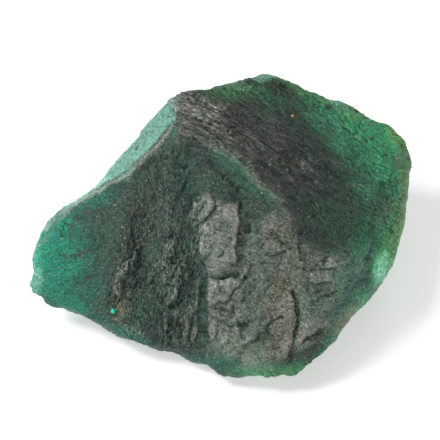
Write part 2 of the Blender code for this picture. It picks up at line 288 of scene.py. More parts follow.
# %% [markdown]
# ## Helpers for noise and moves
# No edge on a broken stone is straight, so marks are made to wander a little before they are used.
# Relief is added by moving the points along their normals. Averaging each point with its neighbours
# finds the smooth form under the relief.

# %% Noise, moves and averages
def wandered(marks, wide, fine, crumb=0.0):
    """The marks shifted by noise, which breaks up every edge drawn with them."""
    shift = np.array([
        (noise.noise_vector(Vector((a * 0.25, u * 0.25, 3.0))) * wide
         + noise.noise_vector(Vector((a * 0.9, u * 0.9, 9.0))) * fine
         + noise.noise_vector(Vector((a * 2.4, u * 2.4, 6.0))) * crumb)[:2]
        for a, u in marks
    ])
    return marks + shift


def cloud(points, size, octaves=4, roughness=0.8):
    """Fractal noise whose largest lumps are about size mm."""
    return np.array([noise.fractal(Vector(p) / size, roughness, 2.0, octaves) for p in points])


def raise_points(mesh, rise):
    """Moves every point by rise, in mm, along its normal."""
    moved = points_of(mesh) + points_of(mesh, "normal") * (rise * MM)[:, None]
    mesh.vertices.foreach_set("co", moved.ravel())
    mesh.update()


def edges_of(mesh):
    ends = np.empty(len(mesh.edges) * 2, np.int32)
    mesh.edges.foreach_get("vertices", ends)
    return ends.reshape(-1, 2)


def spread_out(mesh, values, rounds):
    """Each value is averaged with its neighbours' values, again and again."""
    ends = edges_of(mesh)
    both = np.concatenate([ends, ends[:, ::-1]])
    count = np.bincount(both[:, 0], minlength=len(values))
    values = values.reshape(len(values), -1)
    for _ in range(rounds):
        sums = [np.bincount(both[:, 0], column[both[:, 1]], len(values)) for column in values.T]
        values = 0.5 * values + 0.5 * (np.stack(sums, 1) / count[:, None])
    return values


# %% [markdown]
# ## Worn rims
# The thin rims have lost their small corners to wear, and run smooth. There the points are averaged
# with their neighbours. A Smooth modifier does the same but draws a rim inwards, so the broad part
# of the shift is taken back here, and the rim stays in place.

# %% Wear the rims
# across, up, half length, half width, turn
WORN = {
    "right corner": (29.6, 8.2, 6.0, 3.0, 82),
    "upper right rim": (23.5, 15.8, 9.0, 2.6, -27),
    "strip rim": (-17.0, 8.6, 5.0, 2.4, 50),
}
WEAR_ROUNDS = 110


def wear_rims(mesh):
    points = points_of(mesh)
    marks = marks_of(points / MM)
    worn = spread_out(mesh, points, WEAR_ROUNDS)
    worn -= spread_out(mesh, worn - points, WEAR_ROUNDS)
    share = np.max([inside_ellipse(marks, *ellipse, soft=0.6) for ellipse in WORN.values()], axis=0)
    mesh.vertices.foreach_set("co", (points + share[:, None] * (worn - points)).ravel())
    mesh.update()
    print("worn:", int((share > 0.5).sum()), "points")


wear_rims(stone.data)

# %% [markdown]
# ## Ledges and lumps
# The front is broken into low ledges: each has one sharp edge and falls back gently behind it, and
# lumps stand on and between them. Both could be carved in Sculpt Mode. Here they are set out by
# their marks, so that they can be measured and mended: a ledge is a line, a lump is an ellipse.

# %% Ledges and lumps
LUMP_SOFTNESS = 0.8
EDGE_START, EDGE_END = -0.14, 0.16
FOOT_DEPTH, FOOT_REACH = 0.45, 0.6
END_FADE = 1.1
# rise, reach behind the edge, share of grey skin with painted sheen, line with the high side on its left
LEDGES = {
    "plateau edge": (0.5, 2.6, 0.9, [
        (2.3, -7.5), (2.6, -5.9), (2.2, -4.2), (2.6, -3), (2.8, -1.2), (3.1, -0.2), (2.8, 1.1),
        (3, 2.3), (3, 3.4),
    ]),
    "nodular edge": (0.3, 1.8, 0.45, [
        (-3.4, -0.3), (-2.2, 0.3), (-1.6, 0.9), (-1.1, 2), (-0.9, 3.1), (-1.4, 4.2),
    ]),
    "nodular back": (0.3, 1.2, 0.4, [(-3.1, 4.4), (-3.9, 3.3), (-4.4, 2.3), (-4.7, 1.1), (-5, -0.2)]),
    "left shoulder": (0.36, 1.6, 0.6, [(-3, -0.2), (-3.3, -1.9), (-3.1, -3.7), (-3.1, -5), (-2.6, -6.2)]),
    "block wall": (0.5, 2.8, 0.7, [
        (-2.3, -5.9), (-1.9, -7.3), (-1.9, -9.3), (-2, -11.8), (-1.7, -13.4), (-1.7, -15.2),
        (-1.7, -17.4), (-1.4, -19.3),
    ]),
    "gully west wall": (0.3, 1, 0.3, [
        (-3.1, -18.2), (-3.4, -15.2), (-3.4, -13.1), (-3.3, -10.9), (-2.6, -9),
    ]),
    "middle plate top": (0.32, 2.2, 0.8, [(3.3, -9.2), (1.7, -9), (0, -9.2), (-1.9, -9.5)]),
    "middle plate foot": (0.42, 1.8, 0.7, [
        (-1.9, -13.4), (-0.9, -13.1), (-0.3, -12.4), (0.6, -12.6), (1.4, -12.3), (1.6, -11.3),
        (2.5, -10.4), (3.6, -9.8),
    ]),
    "leaning edge": (0.36, 1.4, 0.6, [(2.8, -9.3), (3.6, -9.2), (4, -8.5), (4.4, -7.5), (4.7, -6.4)]),
    "small plate": (0.3, 0.9, 0.4, [(0, -13.1), (0.8, -13.8), (1.4, -14.3), (1.9, -13.4), (2, -12.3)]),
    "low plate top": (0.32, 1.4, 0.6, [(1.9, -14.9), (0.9, -14.1), (-0.2, -13.8), (-1.6, -14.3)]),
    "second step": (0.2, 1.8, 0.6, [
        (4, -17), (2.8, -16.5), (1.2, -16.5), (0, -16), (-1.1, -15.5), (-1.7, -15.5),
    ]),
    "brown plate top": (0.28, 1.8, 0.3, [(10.7, -4.7), (9.8, -3.9), (8.9, -3), (7.5, -3.1)]),
    "brown plate foot": (0.28, 1.6, 0.3, [(7.5, -5.9), (8.2, -5.6), (9.3, -5.1), (10.7, -4.5)]),
    "green border": (0.3, 1.4, 0.3, [(12.3, -6.8), (12.3, -5.3), (12.1, -4), (12.3, -2.8), (12, -1.4)]),
    "long crack edge": (0.36, 1.2, 0.4, [
        (11.2, -19.4), (11.5, -17.1), (11.8, -15.2), (11.7, -13.7), (11.3, -12), (10.6, -10.9),
    ]),
    "fork edge": (0.26, 1.6, 0.5, [
        (12.1, -19.7), (13.2, -18.5), (14.1, -17.6), (15.2, -16.9), (16.3, -16.5),
    ]),
    "right step": (0.36, 1.5, 0.5, [
        (13.7, -12.4), (14.9, -12.3), (15.9, -11.7), (17.1, -11.2), (18.5, -10.7),
    ]),
    "upper right step": (0.26, 1.4, 0.5, [(13.7, -10.1), (15.2, -9.9), (16.5, -9.5), (18, -9.2)]),
    "third right step": (0.24, 1.2, 0.5, [(14.9, -7.3), (16.3, -7.5), (17.4, -7.3), (18.7, -6.8)]),
    "right lumps edge": (0.26, 1.4, 0.5, [(12.4, -8.1), (13.2, -7.2), (12.9, -5.9), (13.5, -5)]),
    "chute edge": (0.3, 1.4, 0.3, [(-6.5, 3.7), (-5.8, 5.3), (-5, 6.8), (-4.7, 8.5)]),
    "low right ledge": (0.26, 1.6, 0.4, [
        (6.5, -17.4), (7.2, -16.5), (8.1, -15.5), (9.2, -14.9), (10.3, -15.1), (11, -16),
    ]),
    "toe ledge": (0.26, 1.6, 0.4, [(3.1, -19.9), (4.4, -19), (5.6, -18.3), (6.5, -17.6)]),
    "rim step": (0.26, 1.4, 0.2, [(21.9, -7.2), (22.7, -5.3), (23.5, -3.7), (23.9, -2.5)]),
    "knuckle shelf": (0.36, 1.5, 0.4, [(-8.9, -12.9), (-7.8, -13.4), (-6.7, -12.4), (-6.1, -11.3)]),
    "upper knuckle shelf": (0.32, 1.3, 0.4, [(-8.9, -5.6), (-7.8, -5.8), (-7, -5.1), (-6.2, -4.7)]),
}
# across, up, half length, half width, turn, height, share of grey skin with painted sheen
LUMPS = {
    "nodular lump": (-2.9, 1.9, 3, 1.7, 62, 0.22, 0.9),
    "nodular top": (-2, 3.4, 1.2, 0.9, 40, 0.16, 0.4),
    "nodular foot": (-3.9, 0.9, 1.2, 0.6, 60, 0.25, 0.5),
    "plateau top": (1.4, 1.2, 2.2, 1.4, 85, 0.15, 0.7),
    "plateau middle": (-0.5, -3.1, 3.4, 1.8, 75, 0.22, 0.5),
    "plateau low": (0.3, -5.8, 2, 1.9, 30, 0.2, 0.6),
    "upper knuckle": (-7.9, -4, 1.5, 1, 60, 0.36, 0.6),
    "side knuckle": (-8.7, -5.9, 1, 0.6, 70, 0.28, 0.4),
    "middle knuckle": (-8.4, -8.9, 1.5, 0.8, 60, 0.38, 0.5),
    "long knuckle": (-6.7, -8.4, 1.9, 0.6, 72, 0.34, 0.5),
    "pale knuckle": (-7.6, -11.8, 1.9, 0.8, 58, 0.42, 0.8),
    "left knuckle": (-11, -9, 1.3, 0.5, 72, 0.32, 0.5),
    "green knuckle": (-10.1, -11.3, 1, 0.6, 60, 0.24, 0.3),
    "tall knuckle": (-5.6, -6.5, 1.4, 0.5, 100, 0.28, 0.5),
    "foot knuckle": (-4.8, -14.3, 1.9, 0.9, 80, 0.36, 0.6),
    "low finger": (-8.5, -15.9, 2.3, 0.45, 88, 0.32, 0.6),
    "second finger": (-6.8, -14.9, 1, 0.5, 75, 0.28, 0.5),
    "third finger": (-4, -17.7, 1.9, 0.6, 75, 0.32, 0.6),
    "fourth finger": (-5.4, -18.3, 1.6, 0.45, 85, 0.26, 0.5),
    "fifth finger": (-6.8, -18, 1.4, 0.5, 70, 0.26, 0.4),
    "rib crest": (-13.4, -6.1, 1.8, 0.35, 78, 0.34, 0.8),
    "rib second crest": (-14.9, -7.8, 2.2, 0.4, 66, 0.34, 0.8),
    "rib third crest": (-16, -8.9, 1.5, 0.45, 64, 0.32, 0.7),
    "rib inner crest": (-14.1, -6.7, 1.6, 0.3, 72, 0.26, 0.6),
    "rib hook": (-16.3, -10.9, 1.1, 0.4, -70, 0.28, 0.6),
    "low rib": (-14.8, -13.8, 1.8, 1.1, 85, 0.22, 0.3),
    "wall strand": (-3.6, -12.7, 2.6, 0.3, 88, 0.22, 0.6),
    "brown diamond": (8.1, -4.2, 1.8, 1.2, 10, 0.2, 0.4),
    "crack lip": (11, -12.7, 1.8, 0.6, 92, 0.22, 0.5),
    "cracked middle": (9.3, -16.5, 2, 1.4, 30, 0.24, 0.4),
    "corner": (13.2, -16.8, 2.2, 1.3, 35, 0.22, 0.5),
    "right pink lump": (17.4, -6.5, 1.2, 0.7, 40, 0.26, 0.6),
    "right second lump": (15.2, -5.6, 1.6, 0.9, 10, 0.22, 0.5),
    "right third lump": (15.5, -8.4, 2.6, 0.8, 8, 0.24, 0.5),
    "right low lump": (14.6, -10.6, 0.9, 0.6, 30, 0.24, 0.4),
    "foot lump": (0.6, -17.7, 2.2, 1, 80, 0.24, 0.6),
    "foot second lump": (-0.9, -16.8, 1.4, 0.6, 85, 0.24, 0.6),
}


def ledge_share(marks, reach, line):
    """1 at the top of a ledge's edge, fading behind it, and negative in front of its foot."""
    distance, side, from_end = line_distance(marks, line)
    gap = side * distance
    edge = ramp(gap, EDGE_START, EDGE_END)
    behind = edge * np.exp(-np.maximum(gap, 0) / reach)
    before = (1 - edge) * np.exp(-((gap / FOOT_REACH) ** 2))
    return (behind - FOOT_DEPTH * before) * ramp(from_end, 0, END_FADE)


print(len(LEDGES), "ledges and", len(LUMPS), "lumps")


# %% [markdown]
# ## Creases, strands and seams
# A crease or a crack is a thin line cut in, and a strand is one that stands up, as a thread of mica
# does along a crest. A seam is a healed crack: it has no depth, only colour. A fine sculpting brush
# could draw them too, but a line of marks keeps its place when the mesh under it changes.

# %% Creases, strands and seams
# width, depth, line
CREASES = {
    "gully": (0.8, 0.6, [
        (-2, -5), (-2.5, -7), (-2.6, -10.1), (-2.6, -12.4), (-2.5, -15.5), (-2.5, -17.9), (-2.2, -20.2),
    ]),
    "bowl crease": (0.5, 0.42, [(-2.2, 9.9), (-0.9, 8.2), (0.6, 6.7), (2.3, 5.3), (3.7, 4.2)]),
    "notch": (0.3, 0.5, [(0.3, -8.9), (1.2, -8.9), (2.5, -8.5), (2.2, -7.5)]),
    "branch": (0.22, 0.26, [(5.8, -15.2), (6.7, -16.8), (7.8, -18), (9.6, -17.6), (11, -17.3)]),
    "long crack": (0.24, 0.6, [
        (11.2, -10.6), (11.7, -12.4), (11.7, -14.3), (11.8, -15.4), (11.5, -17.3), (11.3, -19.6),
    ]),
    "fork": (0.2, 0.42, [
        (10.4, -21.6), (11.3, -20.5), (12.4, -19.7), (13.5, -18.3), (14.6, -17.6), (15.9, -17.1),
    ]),
    "second fork": (0.18, 0.26, [(12.4, -20.8), (13.5, -20.1), (14.6, -19.6), (15.9, -18.7)]),
    "brown crack": (0.2, 0.26, [(8.7, -2.6), (9.9, -4), (11, -4.7)]),
    "brown step": (0.2, 0.22, [(7.2, -6.1), (8.9, -5.3), (10.4, -4.5), (12.1, -4.8)]),
    "brown band": (1.3, 0.35, [
        (-13.4, -0.8), (-12.7, -3.9), (-12.6, -6.5), (-12.7, -9.3), (-12.4, -12.4),
    ]),
    "back joint": (0.22, 0.16, [(9.5, 13.7), (9.3, 16.3), (9.8, 18.7), (10.7, 20.4)]),
    "back seam": (0.18, 0.14, [(7.8, 21.8), (9.2, 21.3), (10.9, 20.2)]),
    "pit": (0.35, 0.4, [(-9.9, 0.2), (-9.6, -0.8)]),
    "second pit": (0.35, 0.35, [(-5.9, 2.3), (-5.3, 3.1)]),
    "third pit": (0.45, 0.35, [(-10.9, -9.3), (-10.4, -10.4)]),
    "fourth pit": (0.4, 0.35, [(-7.8, -13.8), (-6.2, -13.4)]),
}

# width, height, line
STRANDS = {
    "crest upper strand": (0.28, 0.22, [
        (-5.9, 15.4), (-4.4, 14.1), (-2.6, 13.4), (-0.8, 12.9), (1.2, 12.4),
    ]),
    "crest strand": (0.34, 0.26, [
        (-5.8, 13.8), (-4.2, 12.9), (-2.3, 12.6), (-0.8, 12.3), (0.9, 11), (2.2, 9.6), (3.9, 7.9),
        (5.9, 6.2), (8.1, 4.8), (9.6, 3.6),
    ]),
    "crest lower strand": (0.3, 0.2, [
        (-4.4, 12.1), (-2.5, 12.1), (-0.9, 11.7), (0.3, 10.6), (1.7, 9), (3.1, 7.3),
    ]),
    "slope strand": (0.26, 0.2, [(-5.8, 17.6), (-3.9, 16.9), (-2.2, 16), (-0.6, 15.4), (3.1, 15.1)]),
    "slope second strand": (0.26, 0.18, [
        (-5.3, 19.1), (-3.1, 18.8), (-0.9, 17.7), (0.9, 16.6), (3.1, 16),
    ]),
    "slope third strand": (0.22, 0.16, [
        (-3.1, 19.3), (-1.2, 18.8), (0.6, 17.7), (2.8, 16.9), (5.6, 16.5),
    ]),
    "lip": (0.3, 0.22, [(6.5, 12.1), (7.8, 11), (9, 9.9), (10.1, 9), (11.3, 7.9)]),
    "left crest strand": (0.3, 0.24, [
        (-28.9, -3.1), (-27.1, -0.5), (-24.9, 1.3), (-21.8, 3), (-18.7, 4.5), (-15.9, 6.1),
        (-13.4, 7.5), (-11.2, 9.3), (-9.6, 11.2), (-8.2, 13.1), (-7.3, 15.2), (-7, 17.4), (-6.8, 19),
    ]),
    "rib strand": (0.22, 0.22, [(-13.5, -4.5), (-13.4, -5.9), (-13.8, -7.5), (-14.6, -8.7)]),
    "rib second strand": (0.22, 0.22, [(-14.5, -5.4), (-14.6, -7), (-15.4, -8.7), (-16, -10.4)]),
}


SEAMS = {
    "upper seam": [(-22.9, 0.2), (-21.1, 0.8), (-19.4, 1.1), (-18.5, 0.9)],
    "upper hook": [(-21.1, 2.2), (-20.7, 1.4), (-19.7, 0.9)],
    "inner seam": [(-22.4, 0.2), (-23.5, -1.6), (-23.6, -3.4), (-22.7, -4.7)],
    "middle seam": [(-24.9, -6.5), (-23, -5.6), (-21, -5), (-19.3, -4.2)],
    "bowl seam": [(-2.2, 9.9), (-0.9, 8.2), (0.6, 6.7), (2.3, 5.3), (3.7, 4.2)],
    "lower seam": [(-21.6, -11.2), (-20.8, -9.3), (-19.7, -8.5), (-19.3, -6.8), (-19, -5)],
}


def line_share(marks, width, line):
    """1 on the line, falling to 0 past its width and at its ends."""
    distance, _, from_end = line_distance(marks, line)
    return np.exp(-((distance / width) ** 2)) * (0.2 + 0.8 * ramp(from_end, 0, 1.0))


print(len(CREASES), "creases,", len(STRANDS), "strands and", len(SEAMS), "seams")

# %% [markdown]
# ## The grain of the break
# Between the plates the break has its own grain, drawn out along the fibres of the crystal, which
# lie differently on each face. Four kinds are used: pebbles, where short stubs of fibre stand up,
# splinters, where long ones lie side by side at different heights, crust, a fine creased skin, and
# threads, where the skin is drawn out into thin raised lines. A Displace modifier could give the
# whole stone one kind of grain. A small function for each kind lets every face have its own.

# %% Pebbles, splinters, crust and threads
def cell(spot):
    """The gap from a spot to the middle of its cell, and the cell's own number from 0 to 1."""
    distances, centres = noise.voronoi(spot)
    return distances[0], 0.5 + 0.5 * noise.cell(centres[0] * 31.0)


def pebbles(spot):
    gap, number = cell(spot)
    return (0.4 + 0.6 * number) * max(0.0, 1.0 - 1.6 * gap * gap)


def splinters(spot):
    spot = spot + noise.noise_vector(spot * 0.9) * 0.3
    gap, number = cell(spot)
    small_gap, small_number = cell(spot * 2.3)
    return 0.6 * number + 0.4 * max(0.0, 1.0 - 1.4 * gap) + 0.3 * small_number - 0.3 * small_gap


def chips(spot):
    """Small broken faces: the lowest of a few leaning planes, so they meet in sharp edges."""
    rises = []
    for centre in noise.voronoi(spot)[1]:
        lean = 2 * noise.cell_vector(centre * 17.0) - Vector((1.0, 1.0, 1.0))
        rises.append(0.5 * noise.cell(centre * 31.0) + 0.9 * lean.dot(spot - centre))
    return min(rises)


def crests(spot):
    """Sharp little crests with round hollows between them, from 0.3 to 1.5."""
    return noise.ridged_multi_fractal(spot, 0.6, 2.1, 3, 1.0, 1.6)


def crust(spot):
    """Chips on chips, under a skin of small lumps with sharp creases between them."""
    spot = spot + noise.noise_vector(spot * 0.8) * 0.35
    return 0.9 + 0.45 * chips(spot) + 0.22 * chips(spot * 2.3) - 0.22 * crests(spot * 1.9)


def threads(spot):
    """Chips under a skin of raised threads."""
    spot = spot + noise.noise_vector(spot * 0.8) * 0.35
    return 0.2 + 0.26 * chips(spot) + 0.10 * chips(spot * 2.3) + 0.44 * crests(spot)


# kind, across, up, half length, half width, turn, height, grain length, grain width
GRAINS = {
    "tip": (crust, -24, -7, 12, 9, 35, 0.14, 2, 1.4),
    "brown band": (crust, -12.8, -6, 12, 2.4, 85, 0.30, 1.8, 0.8),
    "rib": (splinters, -14.8, -8.5, 8, 2.6, 70, 0.75, 1.6, 0.5),
    "upper pebbles": (pebbles, -7.2, 9.2, 3.6, 1.8, -50, 0.50, 0.9, 0.7),
    "pebble column": (pebbles, -10.2, 0.2, 5.2, 1.9, 82, 0.55, 0.9, 0.7),
    "upper knuckles": (splinters, -7.4, -4.2, 4, 2.6, 85, 0.72, 1.2, 0.55),
    "knuckles": (splinters, -7.6, -9.8, 5, 4, 65, 0.75, 1.3, 0.55),
    "low knuckles": (splinters, -6.4, -16.5, 5.5, 3.6, 86, 0.70, 1.5, 0.55),
    "left foot": (crust, -15, -14.5, 8, 4, -25, 0.40, 1.5, 1),
    "nodules": (crust, -3, 2.2, 3.8, 2.6, 60, 0.32, 1.3, 1),
    "chute": (crust, -5, 5.5, 6, 3, 80, 0.38, 1.6, 0.8),
    "bowl": (crust, 2, 6.4, 8, 3.2, -45, 0.18, 2, 1),
    "plates": (crust, 0.4, -3, 9, 3.8, 20, 0.30, 2.2, 1.4),
    "low plates": (crust, 1.4, -14.5, 8.5, 4.6, 88, 0.42, 2.4, 1.5),
    "middle": (crust, 7.5, -6.5, 11, 5, 45, 0.38, 2.4, 1.2),
    "cracked": (crust, 9.5, -16.5, 7, 5.5, 40, 0.34, 2, 1.2),
    "right": (crust, 16.5, -9.5, 8, 6.5, 25, 0.30, 2.4, 1.2),
    "right lumps": (pebbles, 15, -6.2, 5, 2.4, 10, 0.28, 1.6, 1),
    "field": (crust, 22, 4, 13, 10, -60, 0.16, 1.8, 1.2),
    "far field": (crust, 22, 12, 13, 6, -30, 0.13, 1.6, 1.2),
    "top": (threads, 9, 9, 15, 6, -34, 0.55, 7, 1),
    "summit": (threads, -2, 15.6, 8, 4.6, -24, 0.75, 8, 0.9),
    "back of the top": (crust, 9, 18, 10, 5, -20, 0.35, 2, 1),
    "strip": (threads, -16, 7, 18, 4, 48, 0.18, 3, 0.8),
}
FINE_SIZE, FINE_HEIGHT = 0.90, 0.10
GRAIN_SOFTNESS = 0.7


def grain_rise(marks, kind, across, up, half_length, half_width, turn, height, length, width):
    along, aside = turned(marks, across, up, turn)
    inside = inside_ellipse(marks, across, up, half_length, half_width, turn, GRAIN_SOFTNESS)
    lumps = np.zeros(len(marks))
    for i in np.flatnonzero(inside > 0):
        lumps[i] = kind(Vector((along[i] / length, aside[i] / width, across))) - 0.5
    return height * inside * lumps


print(len(GRAINS), "patches of grain")

# %% [markdown]
# ## Putting the relief on
# Relief that is set out by marks belongs to the side that the sight line meets. Behind and below,
# where no form is set out, the same kinds of grain are spread by their place in space. The foot
# stays flat, because the stone rests on it.

# %% Raise the points
BACK_SPLINTERS, BACK_HEIGHT = 2.6, 0.16
BACK_CRUST, BACK_CRUST_HEIGHT = 1.1, 0.09
FOOT_START, FOOT_END = 0.15, 1.0
CLOSE_WANDER = (0.15, 0.25, 0.2)

points, normals = points_of(stone.data) / MM, points_of(stone.data, "normal")
marks = wandered(marks_of(points), *CLOSE_WANDER)
facing = ramp(normals @ np.array(TO_EYE), 0.0, 0.35)
rise = -FINE_HEIGHT * np.array([crests(Vector(p) / FINE_SIZE) - 0.9 for p in points])
for height, reach, skin, line in LEDGES.values():
    rise += facing * height * ledge_share(marks, reach, line)
for *ellipse, height, skin in LUMPS.values():
    rise += facing * height * inside_ellipse(marks, *ellipse, LUMP_SOFTNESS)
for grain in GRAINS.values():
    rise += facing * grain_rise(marks, *grain)
uneven = np.clip(0.5 + 0.9 * cloud(points, 1.2), 0, 1.5)
for width, depth, line in CREASES.values():
    rise -= facing * depth * uneven * line_share(marks, 0.6 * width, line)
for width, height, line in STRANDS.values():
    rise += facing * height * uneven * line_share(marks, 0.7 * width, line)
for i in np.flatnonzero(facing < 1):
    place = Vector(points[i])
    behind = BACK_HEIGHT * splinters(place / BACK_SPLINTERS)
    behind += BACK_CRUST_HEIGHT * crust(place / BACK_CRUST)
    rise[i] += (1 - facing[i]) * (behind - BACK_HEIGHT / 2)
rise *= ramp(points[:, 2], FOOT_START, FOOT_END)
raise_points(stone.data, rise)
print("relief: from", round(rise.min(), 2), "to", round(rise.max(), 2), "mm")

# %% [markdown]
# ## Fewer points where they show least
# The relief needed small squares everywhere, and that is more triangles than a part should carry.
# A Decimate modifier merges them again where the surface is flattest. A point group keeps the front
# finer than the underside: its factor is tiny because Decimate weighs it against squared distances
# in metres. A last clamp holds every point inside the solid's own box.

# %% Thin the mesh and clamp it
MOST_TRIANGLES = 192000
FRONT_WEIGHT = 2e-6


def thin_out(stone, keep):
    group = stone.vertex_groups.new(name="keep_fine")
    for level in (0.0, 0.5, 1.0):
        chosen = np.flatnonzero(np.round(keep * 2) / 2 == level).tolist()
        group.add(chosen, 0.9 * level, "REPLACE")
    decimate = stone.modifiers.new("thin_out", "DECIMATE")
    decimate.ratio = MOST_TRIANGLES / (2 * len(stone.data.polygons))
    decimate.vertex_group = group.name
    decimate.invert_vertex_group = True
    decimate.vertex_group_factor = FRONT_WEIGHT
    mesh = baked_mesh(stone)
    stone.modifiers.clear()
    stone.vertex_groups.clear()
    stone.data = mesh


def triangles_in(mesh):
    return sum(len(polygon.vertices) - 2 for polygon in mesh.polygons)


thin_out(stone, facing)
clamped = np.clip(points_of(stone.data), np.array(cad_box[0]), np.array(cad_box[1]))
stone.data.vertices.foreach_set("co", clamped.ravel())
stone.data.update()
print("now", len(stone.data.vertices), "points and", triangles_in(stone.data), "triangles")

# %% [markdown]
# ## Hollows and valleys
# Two measures of the finished shape steer the colours. Each compares a point with its smoothed
# surroundings: `hollow` looks about half a millimetre around it, `valley` a few millimetres. Dirty
# Vertex Colors would find the small hollows, but not the broad ones. The creases get painted shade,
# and the grey skin of mica, with its painted sheen, stays on what stands proud.

# %% Hollows and valleys
def write_attribute(mesh, name, values):
    attribute = mesh.attributes.new(name, "FLOAT", "POINT")
    attribute.data.foreach_set("value", np.clip(values, 0, 1).astype(np.float32))
    print(name, "mean", round(float(values.mean()), 3))


def hollowness(mesh, rounds, depth):
    """0.5 on the flat, up to 1 in a hollow that is depth mm deep, down to 0 on a bump."""
    points = points_of(mesh) / MM
    sunk = ((spread_out(mesh, points, rounds) - points) * points_of(mesh, "normal")).sum(1)
    return 0.5 + 0.5 * np.clip(sunk / depth, -1, 1)


write_attribute(stone.data, "hollow", hollowness(stone.data, rounds=8, depth=0.07))
write_attribute(stone.data, "valley", hollowness(stone.data, rounds=80, depth=0.35))
